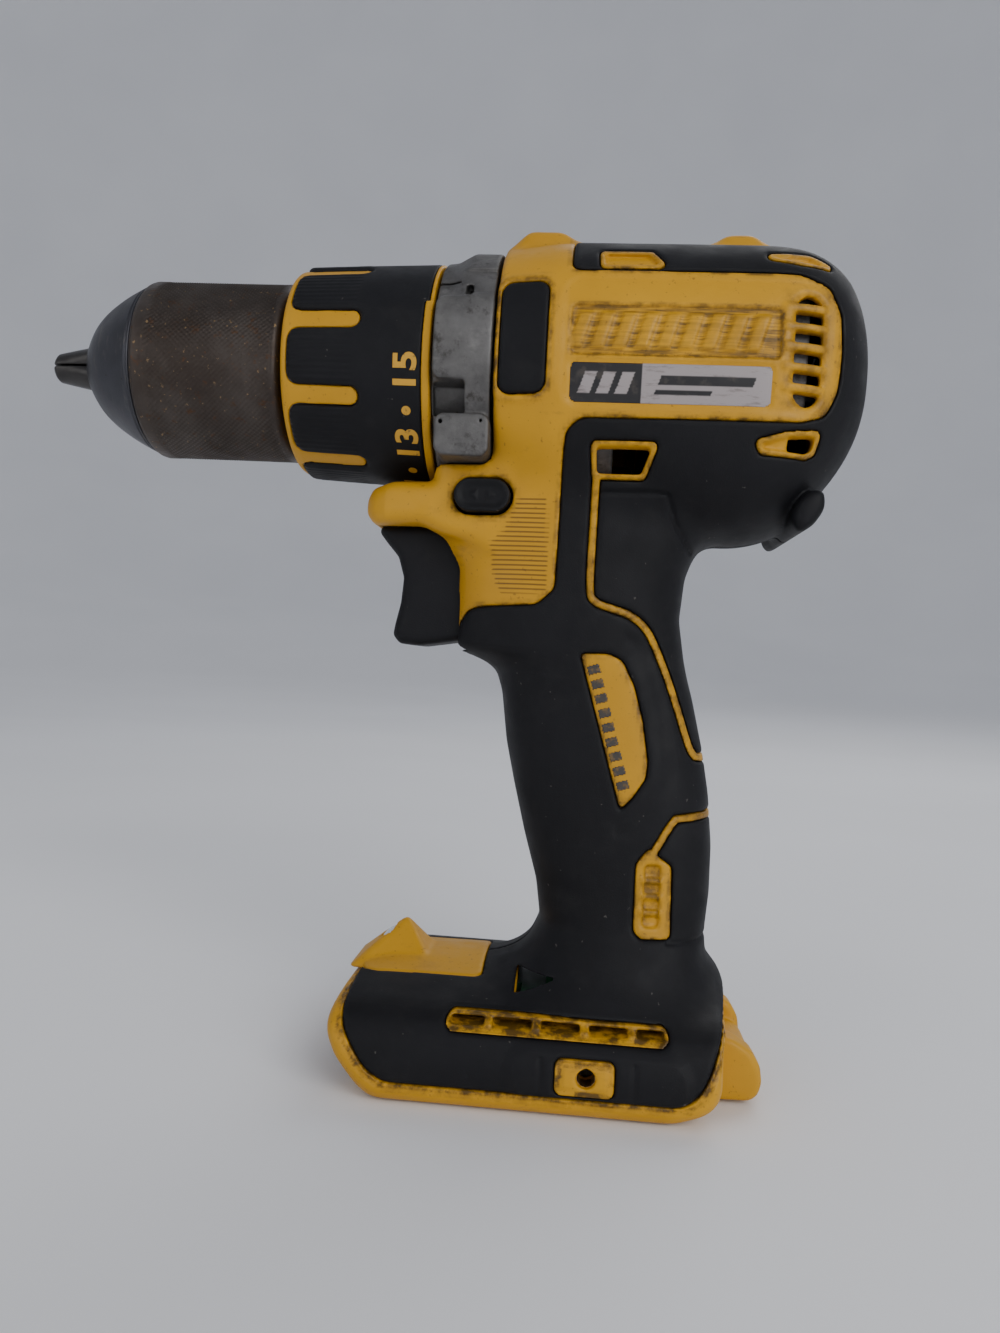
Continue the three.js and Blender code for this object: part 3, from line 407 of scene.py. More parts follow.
def body_field(g):
    body = soft_min(barrel_field(g), handle_field(g), 6)
    body = soft_min(body, foot_field(g), 7)
    body = soft_min(body, nose_field(g), 2.5)
    body = soft_min(body, hump_field(g), 2)
    pad = soft_max(rounded(g, REAR_PAD, 2), np.abs(g.y) - 21, 3)
    body = soft_min(body, pad, 1)
    lug = rounded(g, REAR_LUG, 1.2)
    lug = soft_max(lug, np.abs(np.abs(g.y) - 16.2) - 3.8, 1.6)
    bridge = soft_max(rounded(g, REAR_BRIDGE, 1.2), np.abs(g.y) - 13, 1)
    body = np.minimum(body, soft_min(lug, bridge, 1))
    return soft_max(body, -165.1 - g.z, 1.0)


def lines_field(g):
    """The narrow yellow lines and plates that show through the overmould, in x, z."""
    grip = stroke(g.x, g.z, smooth_path(GRIP_LINE)) - 0.95
    heel = stroke(g.x, g.z, smooth_path(HEEL_LINE)) - 0.95
    plate = rounded(g, HEEL_PLATE, 0.8)
    badge = rounded(g, BADGE, 0.8)
    rims = [polygon(g.x, g.z, shape) - 1.3 for shape in (WINDOW, REAR_SLOT, TOP_WINDOW, TOP_SLOT)]
    slot = rect(g, *FOOT_SLOT, 1.6) - 0.4
    hook = rect(g, *HOOK_PLATE, 1.6)
    return np.minimum.reduce([grip, heel, plate, badge, *rims, slot, hook])


def black_fields(g):
    """The overmould's region: an x, z field and the yellow places that need depth too."""
    side = rounded(g, BLACK_SIDE, 2.5)
    panel = rounded(g, PANEL, 1.8)
    plane = np.maximum(np.maximum(side, -panel), -lines_field(g))
    spine = np.maximum(np.maximum(np.abs(g.y) - 12.4, 22 - g.z), g.x - 69)
    return plane, spine


def openings(g):
    """Everything that goes through the housing's wall."""
    window = rounded(g, WINDOW, 0.6)
    rear = np.maximum(rounded(g, REAR_SLOT, 0.6), REAR_HOLE_X - g.x)
    vents = rect(g, 65.4, 71.4, VENT_BOTTOM, VENT_TOP, 3.5)
    for level in VENT_RIBS:
        vents = np.maximum(vents, 0.95 - np.abs(g.z - level))
    slot = rect(g, *FOOT_SLOT, 1.2) + 0.65
    for bar in FOOT_SLOT_BARS:
        slot = np.maximum(slot, 1.0 - np.abs(g.x - bar))
    slot = np.maximum(slot, 24 - np.abs(g.y))
    return np.minimum(np.minimum.reduce([window, rear, vents]), slot)


def control_cuts(g):
    swept = rect(g, -24, 5, -65.6, -41.6)
    for travel in (0, 3.5, 7):
        moved = [(x + travel, z) for x, z in TRIGGER_OUTLINE]
        swept = np.minimum(swept, rounded(g, moved, 1.0) - 0.4)
    pocket = np.maximum(swept, np.abs(g.y) - 9.4)
    x0, x1, z0, z1 = BUTTON
    button = rect(g, x0 - 0.3, x1 + 0.3, z0 - 0.3, z1 + 0.3, 4.2)
    selector = np.maximum(box2(g.x, np.abs(g.y), 28.4, 41.4, -5, 5), 24 - g.z)
    return np.minimum(np.minimum(pocket, button), selector)


SLOT_TOP, SLOT_REAR = -151, 50
TERMINAL_WELL = (13, 45, -20.8, 20.8)


def battery_slot(g):
    mouth = np.maximum(box2(g.y, g.z, -22, 22, -190, SLOT_TOP, 0.5), g.x - SLOT_REAR)
    rails = np.maximum(box2(g.y, g.z, -28, 28, -160, SLOT_TOP, 0.5), g.x - SLOT_REAR)
    well = np.maximum(box2(g.x, g.y, *TERMINAL_WELL), np.maximum(-156 - g.z, g.z + 140))
    return np.minimum(np.minimum(mouth, rails), well)


def ridge(distance, width):
    return np.exp(-((distance / width) ** 2))


def step(distance, width=0.5):
    """From 0 outside an outline to 1 inside it."""
    return np.clip(0.5 - distance / width, 0, 1)


def brand_bars(g):
    """A row of plain slanted bars in the sunk field."""
    low, high = BRAND_FIELD[2:]
    middle = (low + high) / 2
    lean = (g.z - middle) * 0.3
    pitch = 4.7
    place = (g.x - 19.9 - lean) / pitch
    number = np.clip(np.rint(place), 0, 8)
    across = np.abs(place - number) * pitch - 1.45
    return np.maximum(across, np.abs(g.z - middle) - 3.9)


def relief(g):
    """How far the yellow face sinks, in x, z."""
    field = rect(g, 16.2, 73.6, -13.4, 15.6, 4)
    sunk = step(field, 1.2) * 0.3
    brand = rect(g, *BRAND_FIELD, 1.0)
    sunk = sunk + step(brand) * (0.8 - 0.65 * step(brand_bars(g), 0.7))
    sunk = sunk + step(rect(g, *LABEL_FIELD, 1.0) - 0.35) * 0.35
    sunk = sunk - ridge(rect(g, *FRONT_PAD, 2.6) - 1.3, 0.7) * 0.25
    ribs = sum(
        step(rect(g, 62.6, 72.2, level - 0.95, level + 0.95, 0.9), 0.5) for level in VENT_RIBS)
    vents = step(rect(g, 64.6, 72.2, VENT_BOTTOM - 0.6, VENT_TOP + 0.6, 3.5), 0.8)
    sunk = sunk + vents * 0.6 - np.clip(ribs, 0, 1) * (0.3 + 0.6 * vents)
    for shape in (TOP_WINDOW, TOP_SLOT, REAR_SLOT):
        sunk = sunk + step(polygon(g.x, g.z, shape)) * 1.1
    sunk = sunk + step(rect(g, *HEEL_SLOT, 1.0), 0.5) * 1.0
    for level in (-117.2, -120.8, -124.4):
        sunk = sunk - step(rect(g, 40.2, 44.8, level - 0.7, level + 0.7), 0.5) * 0.8
    return sunk.astype(np.float32)


def grip_relief(g):
    """Raised pads and grooves of the overmould, in x, z: positive is sunk."""
    seam = ridge(stroke(g.x, g.z, smooth_path(SEAM_GROOVE)), 0.45) * 0.55
    hook = rect(g, *HOOK_PAD, 5.2)
    around = np.clip((-g.z - 146) / 5, 0, 1)
    lowered = (1 - step(hook, 2.2)) * around * 0.55
    bars = sum(ridge(g.x - x, 0.5) for x in (19.8, 39.6)) * (np.abs(g.z + 156) < 3.7) * 0.4
    heel = ridge(g.z + 130.9, 0.5) * 0.6 * (g.x > 46)
    badge = ridge(polygon(g.x, g.z, BADGE) - 4.8, 1.6) * 0.35 * (g.x > 33)
    return (seam + lowered + bars + heel + badge).astype(np.float32)


LED_PLATE = (-24.2, 4.6, -15, 15)
LED_THICKNESS = 2.9


def led_outline(g):
    x0, x1, y0, y1 = LED_PLATE
    return np.maximum(box2(g.x, g.y, x0, 30, y0, y1, 6), box2(g.x, g.y, -60, x1, y0, y1, 2.4))


SCREW_RADIUS, SCREW_DEPTH = 3.8, 8.3


def screw_holes(g):
    """Counterbores in the right half only."""
    holes = [
        np.maximum(np.hypot(g.x - x, g.z - z) - SCREW_RADIUS, half - SCREW_DEPTH - np.abs(g.y))
        for x, z, half in RIGHT_SCREWS
    ]
    return np.minimum.reduce(holes)


COLLAR_END_X, CASE_FLAT_Z = -12.9, -28.3
CASE_ROOM_RADIUS, COLLAR_ROOM_RADIUS = 29.6, 27.6


def case_rooms(g):
    """Room for the gear case and for the collar in front of the shell."""
    bore = np.hypot(g.y, g.z)
    edge = np.minimum(rect(g, *CASE_EDGE, 2.8), np.maximum(bore - 24.6, g.x - 16))
    ends = np.maximum(COLLAR_END_X - g.x, CASE_FLAT_Z - g.z)
    drum = np.maximum(np.maximum(bore - CASE_ROOM_RADIUS, g.x - CASE_EDGE[1]), ends)
    return np.minimum(edge, drum), np.maximum(bore - COLLAR_ROOM_RADIUS, g.x - COLLAR_END_X)


def side_fields(g, side, body, shell, grip, pad):
    """The pieces of one half; only the right one has the screws' counterbores."""
    fields = {"shell": shell, "grip": grip}
    if side == "right":
        screws = screw_holes(g)
        fields = {"shell": cut(shell, screws), "grip": cut(grip, screws - 0.3)}
    fields["front_pad"] = cut(soft_max(body + 0.05, pad, 0.8), body + GRIP_DEPTH)
    inner = np.maximum(body + 4.2, -(body + 5.4))
    near_vents = rect(g, 63.6, 69.2, -13, 13.6)
    near_window = rect(g, 20, 28.4, -29, -18)
    fields["vent_baffle"] = np.maximum(inner, np.minimum(near_vents, near_window))
    return fields


def half_piece(g, part, side, field, marks):
    """The left half's piece, or its mirror image, cut at the seam."""
    points, polygons = surface(g, np.maximum(field, g.y + SEAM))
    values = {name: sample(g, plane, points) for name, plane in marks.items()}
    if side == "right":
        points, polygons = flip(points, polygons)
    piece = link_mesh(f"{part}_{side}_skin", points, polygons)
    if part in ("shell", "grip"):
        for name, value in values.items():
            attribute(piece, name, value)
    return piece


def make_housing():
    """Both clamshell halves, their overmoulds and the pads and parts that follow the same surface."""
    g = Grid((-30.5, -36.5, -167), (89, 1.5, 38.5), STEP)
    body = body_field(g)
    plane, spine = black_fields(g)
    sunk = relief(g)
    holes = openings(g)
    controls = control_cuts(g)
    slot = battery_slot(g)
    gear_room, collar_room = case_rooms(g)
    black = np.maximum(plane, -spine)
    pad = rect(g, *FRONT_PAD, 2.6) + 0 * plane
    hook_hole = np.hypot(g.x - HOOK_HOLE[0], g.z - HOOK_HOLE[1])
    plate = np.maximum(led_outline(g), np.maximum(-150 - g.z, g.z + 130))
    foot_rim = ridge(plane - 1.0, 0.42) * (g.z < -144) * (g.x < 64)

    lines = ridge(np.maximum(lines_field(g), 0), 1.5) * (YELLOW_DROP - 0.05)
    shell = body + YELLOW_DROP + sunk - lines + foot_rim * 0.45
    recess = -(body + GRIP_DEPTH + 0.25)
    shell = cut(shell, np.maximum(black - 0.12, recess))
    shell = cut(shell, np.maximum(pad - 0.15, recess))
    shell = cut(shell, np.maximum(plate - 0.15, -(body + 3.2)))
    shell = cut(shell, np.maximum(body + WALL, -147.4 - g.z))
    shell = cut(shell, holes, 0.5)
    shell = cut(shell, hook_hole - 2.05, 0.4)
    for tool in (controls, slot, gear_room, collar_room):
        shell = cut(shell, tool)
    grip = soft_max(body + grip_relief(g), black, 0.9)
    tab = np.maximum(np.abs(g.y) - 20.3, polygon(g.x, g.z, REAR_LUG) - 0.3)
    for tool in (body + GRIP_DEPTH, slot - 0.3, gear_room, collar_room, tab):
        grip = cut(grip, tool)
    grip = cut(cut(grip, holes - 0.4), controls - 0.3)
    grip = cut(grip, np.maximum(plate - 0.2, -(body + 3.5)), 0.4)

    marks = {
        "grime_and_shade": grime_plane(g, plane),
        "brand": step(rect(g, *BRAND_FIELD, 1.0), 0.8) * (1 - 0.6 * step(brand_bars(g), 0.8)),
        "engraved": step(polygon(g.x, g.z, ENGRAVED)),
    }
    made = {}
    for side in ("left", "right"):
        for part, field in side_fields(g, side, body, shell, grip, pad).items():
            made[f"{part}_{side}"] = half_piece(g, part, side, field, marks)
    made["led_hood"] = make_led_hood(g, body, plate)
    made["stickers"] = make_stickers(g, shell)
    return made


ENGRAVED = [(14.2, -31.4), (15.2, -53), (4.4, -53.2), (2.4, -49), (1.6, -42), (4.6, -39), (7.6, -31.6)]
HOOD_TOP = (-15.6, -133.0)
HOOD_SLOPES = (0.90, 1.27, 1.17)
LENS_PLACE = (-20.4, -137.3)


def hood_field(x, y, z):
    """Four-sided hood over the lamp, with its top towards the rear of the plate."""
    front, rear, side = HOOD_SLOPES
    top_x, top_z = HOOD_TOP
    drop = z - top_z
    faces = [
        (drop - front * (x - top_x)) / math.hypot(1, front),
        (drop + rear * (x - top_x)) / math.hypot(1, rear),
        (drop + side * np.abs(y)) / math.hypot(1, side),
    ]
    hood = soft_max(soft_max(faces[0], faces[1], 1.2), faces[2], 1.4)
    return np.maximum(hood, -144.5 - z)


def on_slope(g):
    """Coordinates along and off the hood's front slope, from the middle of the lens."""
    front = HOOD_SLOPES[0]
    share = 1 / math.hypot(1, front)
    dx, dz = g.x - LENS_PLACE[0], g.z - LENS_PLACE[1]
    return (dx + dz * front) * share, (dz - dx * front) * share


def make_led_hood(g, body, plate):
    sheet = soft_max(soft_max(body + 0.02, plate, 0.7), -(body + LED_THICKNESS), 0.3)
    hood = np.maximum(hood_field(g.x, g.y, g.z), -(body + LED_THICKNESS))
    field = soft_min(sheet, hood, 0.8)
    along, off = on_slope(g)
    seat = np.maximum(np.hypot(along, g.y) - 2.7, -1.6 - off)
    field = cut(field, seat, 0.3)
    count_x, count_z = (int((high - low) / g.step) for low, high in ((g.low[0], 10), (g.low[2], -128)))
    middle = round(-g.low[1] / g.step)
    half = field[:count_x, :middle + 1, :count_z]
    whole = np.concatenate([half, half[:, -2::-1]], axis=1)
    return skin("led_hood", g, whole)


def grime_plane(g, plane):
    """Where dirt gathers and where shade is painted on the housing, in x, z: darker along the overmould's
    edges, the pads, the case edge and the button, and in the vents and slots.
    """
    # Painted shade and dirt: a dark band along the overmould's edge, then more along the brand field, the
    # front pad and the case edge.
    grime_and_shade = ridge(plane, 0.9)
    grime_and_shade = grime_and_shade + 0.9 * ridge(rect(g, *BRAND_FIELD, 1.0), 0.6)
    grime_and_shade = grime_and_shade + 0.8 * ridge(rect(g, *FRONT_PAD, 2.6) - 0.8, 0.8)
    grime_and_shade = grime_and_shade + 0.6 * ridge(rect(g, *CASE_EDGE, 2.8), 0.8)
    vents = step(rect(g, 63, 73.4, VENT_BOTTOM - 1, VENT_TOP + 1), 2)
    x0, x1, z0, z1 = BUTTON
    button = ridge(rect(g, x0, x1, z0, z1, 4.2) - 0.6, 0.9)
    slots = step(rect(g, *HEEL_SLOT, 1.0), 0.8) + step(rect(g, *FOOT_SLOT, 1.6) + 0.8, 1)
    # Painted shadow: a dark line in the step below the overmould's edge at the foot.
    foot_rim = 0.9 * ridge(plane - 1.0, 0.5) * (g.z < -144)
    return grime_and_shade + 0.55 * vents + 0.8 * button + 0.8 * slots + foot_rim


def drape(g, field, x, z, height):
    """y of the surface on the near side at x, z, raised by height."""
    i = np.clip(((x - g.low[0]) / g.step).astype(int), 0, field.shape[0] - 2)
    k = np.clip(((z - g.low[2]) / g.step).astype(int), 0, field.shape[2] - 2)
    u = (x - g.low[0]) / g.step - i
    v = (z - g.low[2]) / g.step - k
    lines = (
        field[i, :, k] * ((1 - u) * (1 - v))[:, None] + field[i + 1, :, k] * (u * (1 - v))[:, None]
        + field[i, :, k + 1] * ((1 - u) * v)[:, None] + field[i + 1, :, k + 1] * (u * v)[:, None]
    )
    first = np.argmax(lines < 0, axis=1)
    rows = np.arange(len(x))
    above, below = lines[rows, first - 1], lines[rows, first]
    share = above / (above - below)
    return g.low[1] + (first - 1 + share) * g.step - height


STICKER_HEIGHT = 0.1
BADGE_BOX = (24, 40, -101, -66)
LABEL_SPLIT_X = 33.6


def label_ink(x, z):
    """Plain marks of the label: three slanted pale bars on its dark end, two dark bars on the rest."""
    lean = x - 0.35 * (z + 8)
    pale = sum(box2(lean, z, x0, x0 + 2.6, -10.2, -5.8) < 0 for x0 in (20.6, 24.6, 28.6))
    dark = (box2(lean, z, 37, 57, -8.4, -6.4) < 0) | (box2(lean, z, 37, 49, -10.4, -9.4) < 0)
    left = x < LABEL_SPLIT_X
    return np.where(left, 1 - np.clip(pale, 0, 1), dark)


def badge_ink(x, z):
    """A column of short plain bars down the badge."""
    along = (-z - 68.6) * 0.956 + (x - 25) * 0.29
    across = (x - 25.2) * 0.956 + (z + 68.6) * 0.29
    row = np.abs((along / 3.4) % 1 - 0.5) * 3.4
    return ((row < 1.15) & (np.abs(across - 1.2) < 1.5) & (along > 0) & (along < 30)).astype(float)


def sticker(g, shell, name, bounds, region, ink, pitch=0.25):
    """A thin closed sheet on the housing over the x, z places where region is negative."""
    x0, x1, z0, z1 = bounds
    xs, zs = np.meshgrid(np.arange(x0, x1 + pitch, pitch), np.arange(z0, z1 + pitch, pitch), indexing="ij")
    inside = region(xs, zs) <= 0
    number = np.full(xs.shape, -1)
    cells = inside[:-1, :-1] & inside[1:, :-1] & inside[1:, 1:] & inside[:-1, 1:]
    used = np.zeros(xs.shape, dtype=bool)
    for a, b in ((0, 0), (1, 0), (1, 1), (0, 1)):
        used[a:a + cells.shape[0], b:b + cells.shape[1]] |= cells
    number[used] = np.arange(used.sum())
    flat_x, flat_z = xs[used], zs[used]
    top = np.stack([flat_x, drape(g, shell, flat_x, flat_z, STICKER_HEIGHT), flat_z], 1)
    base = np.stack([flat_x, drape(g, shell, flat_x, flat_z, -0.05), flat_z], 1)
    i, k = np.nonzero(cells)
    quads = np.stack([number[i, k], number[i + 1, k], number[i + 1, k + 1], number[i, k + 1]], 1)
    count = len(top)
    edges = {}
    for quad in quads:
        for a, b in zip(quad, np.roll(quad, -1)):
            if edges.pop((b, a), None) is None:
                edges[(a, b)] = True
    rim = np.array([(b, a, a + count, b + count) for a, b in edges])
    points = np.concatenate([top, base])
    faces = [np.concatenate([quads, quads[:, ::-1] + count, rim])]
    mark = np.tile(ink(flat_x, flat_z), 2)
    pieces = []
    for side in ("left", "right"):
        placed, polygons = (points, faces) if side == "left" else flip(points, faces)
        piece = link_mesh(f"{name}_{side}", placed, polygons)
        attribute(piece, "ink", mark)
        pieces.append(piece)
    return pieces


def make_stickers(g, shell):
    def in_label(x, z):
        return box2(x, z, *LABEL_FIELD, 1.0)

    def in_badge(x, z):
        return 1 - 2 * badge_ink(x, z)

    return {
        "label": sticker(g, shell, "label", LABEL_FIELD, in_label, label_ink),
        "badge_print": sticker(g, shell, "badge_print", BADGE_BOX, in_badge, badge_ink),
    }


# ---- Turned parts -------------------------------------------------------------------------------
def turned(name, profile, count=160, radius_at=None):
    """A closed ring of revolution from [x, radius] points; radius_at changes a row's radii by angle."""
    angles = 2 * np.pi * np.arange(count) / count
    rows = []
    for number, (x, radius) in enumerate(profile):
        radii = np.full(count, radius) if radius_at is None else radius_at(number, radius, angles)
        rows.append(np.stack([np.full(count, x), -np.cos(angles) * radii, np.sin(angles) * radii], 1))
    points = np.concatenate(rows)
    length = len(profile)
    index = np.arange(length * count).reshape(length, count)
    after, beside = np.roll(index, -1, axis=0), np.roll(index, -1, axis=1)
    both = np.roll(after, -1, axis=1)
    quads = np.stack([index, beside, both, after], -1).reshape(-1, 4)
    return link_mesh(name, points, [quads])


NOSE = [
    (-102.7, 7.2), (-102.2, 8.2), (-100.7, 10.4), (-98.6, 12.9), (-95.6, 15.4), (-92, 17.7),
    (-89.2, 19.2), (-86.9, 20.3),
]
KNURL_STARTS = 108
KNURL_LEAD = 1.33
KNURL_DEPTH = 0.45
KNURL_FRONT_X, KNURL_REAR_X = -82.2, -50.8
SLEEVE_RADIUS = 21.5


def make_nose():
    inner = [(-85.9, 16.3), (-97.6, 11.3), (-100.2, 7.8), (-102.6, 6.9)]
    seam = [(-86.75, 20.0), (-86.45, 20.1), (-86.3, 20.6), (-85.95, 20.7)]
    return turned("chuck_nose_skin", smooth_path(NOSE, 5) + seam + inner)


def make_sleeve():
    front = [(-85.5, 19.0), (-85.5, 20.9), (-85.1, 21.3), (-84.4, SLEEVE_RADIUS), (-82.4, SLEEVE_RADIUS)]
    rows = int((KNURL_REAR_X - KNURL_FRONT_X) / (KNURL_LEAD / 4))
    knurl = [(KNURL_FRONT_X + KNURL_LEAD / 4 * i, SLEEVE_RADIUS) for i in range(rows)]
    rear = [(-50.6, 21.2), (-50.1, 20.8), (-49.6, 20.2), (-49.6, 19.0)]
    first, last = len(front), len(front) + rows - 1

    def depth(number, radius, angles):
        if not first <= number <= last:
            return np.full(len(angles), radius)
        start = angles * KNURL_STARTS / (2 * np.pi)
        lead = (number - first) / 4
        waves = [np.abs(((start + way * lead) % 1) - 0.5) * 2 for way in (1, -1)]
        fade = min(1, (number - first + 1) / 4, (last - number + 1) / 4)
        return radius - KNURL_DEPTH * fade * np.maximum(*waves)

    return turned("chuck_sleeve_skin", front + knurl + rear, KNURL_STARTS * 4, depth)


# ---- Collar -------------------------------------------------------------------------------------
COLLAR_FRONT_X, COLLAR_REAR_X = -48.4, -13.4
FINGERS, FINGER_PHASE, FINGER_HALF = 9, 14.8, 2.1
SCALE_X, SCALE_LAST, SCALE_PITCH = -18.7, -12.4, 18.5


def collar_outer(x):
    return np.interp(x, [-48.4, -46, -30, -15.4, -13], [24.9, 25.4, 26.1, 26.6, 26.7]).astype(np.float32)


def make_collar():
    g = Grid((-49, -27.3, -27.3), (-12.8, 27.3, 27.3), 0.34 if FINE else 0.6)
    radius = np.hypot(g.y, g.z)
    angle = np.degrees(np.arctan2(g.z, -g.y))
    outer = collar_outer(g.x)
    pitch = 360 / FINGERS
    turn = (angle - FINGER_PHASE + pitch / 2) % pitch - pitch / 2
    across = np.radians(turn) * radius
    blade = np.hypot(np.maximum(g.x + 30 + FINGER_HALF, 0), across) - FINGER_HALF
    yellow = soft_min(g.x + 46.7, blade, 3.2)
    notch = (angle > 24) & (angle < 150)
    rear = np.where(notch, -14.3, -15.3) - g.x
    core = np.minimum(radius - 23.2, np.maximum(radius - outer + 0.75, yellow))
    core = np.minimum(core, np.maximum(radius - 26.55, rear))
    core = soft_max(core, COLLAR_FRONT_X - g.x, 1.4)
    core = np.maximum(core, g.x - COLLAR_REAR_X)
    core = np.maximum(core, np.where(g.x < -45.4, 16.2, 20) - radius)
    grip = soft_max(radius - outer, 0.15 - yellow, 1.3)
    ribs = np.cos(angle * np.pi / 1.5) * 0.07 * (g.x < -31)
    grip = grip + ribs * (radius > 24)
    grip = np.maximum(grip, 23.4 - radius)
    grip = np.maximum(grip, 0.12 - rear)
    fields = {"clutch_collar": core, "collar_grip": grip}
    return {node: skin(node, g, field) for node, field in fields.items()}


def wrap(mesh, angle, x, size, stretch=1.0):
    """Moves a flat mark onto the collar at an angle up from the near side; stretch widens it."""
    for vertex in mesh.vertices:
        turn = math.radians(angle) + vertex.co.x * size * stretch / collar_outer(SCALE_X)
        place = x - vertex.co.y * size
        radius = float(collar_outer(place)) + (0.08 if vertex.co.z > 0 else -0.3)
        point = Vector((place, -math.cos(turn) * radius, math.sin(turn) * radius))
        vertex.co = point * MM + Vector(AXIS)


def collar_mark(body, angle):
    """One number of the torque scale."""
    curve = bpy.data.curves.new("mark", "FONT")
    curve.body = body
    curve.align_x = "CENTER"
    curve.align_y = "CENTER"
    curve.extrude = 0.05
    curve.offset = 0.03
    curve.space_character = 1.06
    flat = bpy.data.objects.new("mark", curve)
    bpy.context.collection.objects.link(flat)
    bpy.context.view_layer.update()
    mesh = bpy.data.meshes.new_from_object(flat.evaluated_get(bpy.context.evaluated_depsgraph_get()))
    bpy.data.objects.remove(flat)
    edit = bmesh.new()
    edit.from_mesh(mesh)
    bmesh.ops.remove_doubles(edit, verts=edit.verts, dist=1e-5)
    bmesh.ops.triangulate(edit, faces=edit.faces)
    long_edges = [edge for edge in edit.edges if edge.calc_length() > 0.2]
    bmesh.ops.subdivide_edges(edit, edges=long_edges, cuts=2)
    bmesh.ops.triangulate(edit, faces=edit.faces)
    edit.to_mesh(mesh)
    edit.free()
    wrap(mesh, angle, SCALE_X, 7.2, 1.22)
    return mesh


def dot_mark(angle, radius=1.05):
    """One round dot of the scale."""
    mesh = bpy.data.meshes.new("dot")
    edit = bmesh.new()
    bmesh.ops.create_cone(edit, cap_ends=True, segments=28, radius1=radius, radius2=radius, depth=0.1)
    edit.to_mesh(mesh)
    edit.free()
    wrap(mesh, angle, SCALE_X, 1.0)
    return mesh


def make_scale():
    """The torque scale: odd numbers with dots between them."""
    meshes = []
    for number in range(1, 16):
        angle = SCALE_LAST - SCALE_PITCH * (15 - number)
        meshes.append(collar_mark(str(number), angle) if number % 2 else dot_mark(angle))
    edit = bmesh.new()
    for mesh in meshes:
        edit.from_mesh(mesh)
        bpy.data.meshes.remove(mesh)
    joined = bpy.data.meshes.new("collar_scale")
    edit.to_mesh(joined)
    edit.free()
    piece = bpy.data.objects.new("collar_scale", joined)
    bpy.context.collection.objects.link(piece)
    return piece


# ---- Gear case ----------------------------------------------------------------------------------
CASE_OUTER = [
    (-47, 15.2), (-17.4, 15.2), (-13.4, 19.6), (-12.9, 25.8), (-12.4, 26.8), (-10.4, 27), (-9.6, 27.2),
    (-6.4, 28.9), (-5.6, 29.2), (0.5, 29.2), (0.7, 24.1), (14, 24.1),
]
CASE_INNER = [
    (-47, 13), (-30.2, 13), (-30, 9), (-16, 9), (-12, 17.4), (-10.6, 21.9), (14, 21.9),
]
CASE_PLATE = (-12.5, 0.5, -7.5, 11.4)
CASE_POCKET = (-12.7, -5.1, -14.5, -7.6)
CASE_BLOCK = (-11.7, 0.8, -23.9, -14.6)


def make_gear_case():
    g = Grid((-47.4, -29.6, -27.8), (14.4, 29.6, 29.6), 0.42 if FINE else 0.7)
    radius = np.hypot(g.y, g.z)
    outer = np.interp(g.x, *zip(*CASE_OUTER)).astype(np.float32)
    inner = np.interp(g.x, *zip(*CASE_INNER)).astype(np.float32)
    side = np.abs(g.y)
    case = soft_max(radius - outer, g.x - 0.5, 0.4)
    case = np.minimum(case, np.maximum(radius - 24.1, g.x - 14))
    upper = rect(g, -7.2, 2, 12.2, 19, 0.8)
    case = soft_max(case, -np.maximum(upper, np.maximum(28.5 - radius, 10 - side)), 0.3)
    plate = soft_max(rect(g, *CASE_PLATE, 2.2), radius - 29.1, 0.8)
    case = soft_min(case, np.maximum(plate, 18 - side), 0.5)
    block = soft_max(rect(g, *CASE_BLOCK, 2.4), side - 26.9 + 0.12 * np.maximum(-16 - g.z, 0), 0.8)
    case = soft_min(case, np.maximum(block, 10 - side), 0.4)
    pocket = np.maximum(rect(g, *CASE_POCKET, 0.6), np.maximum(22.6 - radius, 12 - side))
    case = soft_max(case, -pocket, 0.4)
    slot = np.maximum(rect(g, -6.1, -4.5, 11.6, 14.6, 0.5), np.maximum(26.2 - radius, 10 - side))
    case = soft_max(case, -slot, 0.2)
    groove = np.maximum(rect(g, -13, -7.4, 15.2, 15.7), np.maximum(25.4 - radius, 10 - side))
    case = soft_max(case, -groove, 0.2)
    for x, z, size in ((-10.2, -16.6, 0.5), (-1.2, -16.2, 0.4)):
        pit = np.maximum(np.hypot(g.x - x, g.z - z) - size, 20 - side)
        case = soft_max(case, -pit, 0.2)
    case = np.maximum(case, inner - radius)
    case = np.maximum(case, np.maximum(-47 - g.x, -27.2 - g.z))
    return skin("gear_case", g, case)


# ---- Jaws and controls --------------------------------------------------------------------------
JAW_TIP_X = -113.8
JAW_TILT = math.radians(15)
JAW_RADIUS = 3.5


def make_jaws():
    g = Grid((-114.2, -5, -5), (-80.4, 14, 5), 0.24 if FINE else 0.4)
    centre = (g.x - JAW_TIP_X) * math.tan(JAW_TILT)
    body = np.hypot((g.y - centre) * math.cos(JAW_TILT), g.z) - JAW_RADIUS
    body = body + 0 * g.x
    faces = np.abs(g.z) * 0.5 - (g.y - 0.2) * 0.866
    body = soft_max(body, faces, 0.25)
    limit = np.interp(g.x, [-113.8, -112.8, -104, -60], [2.6, 3.7, 5.5, 19]).astype(np.float32)
    body = soft_max(body, np.hypot(g.y, g.z) - limit, 0.5)
    body = np.maximum(soft_max(body, JAW_TIP_X - g.x, 0.4), g.x + 81)
    points, polygons = surface(g, body)
    jaws = []
    for number in range(3):
        angle = 2 * math.pi * number / 3
        turned_points = points.copy()
        turned_points[:, 1] = points[:, 1] * math.cos(angle) - points[:, 2] * math.sin(angle)
        turned_points[:, 2] = points[:, 1] * math.sin(angle) + points[:, 2] * math.cos(angle)
        jaws.append(link_mesh(f"jaw_{number + 1}_skin", turned_points, polygons))
    return jaws


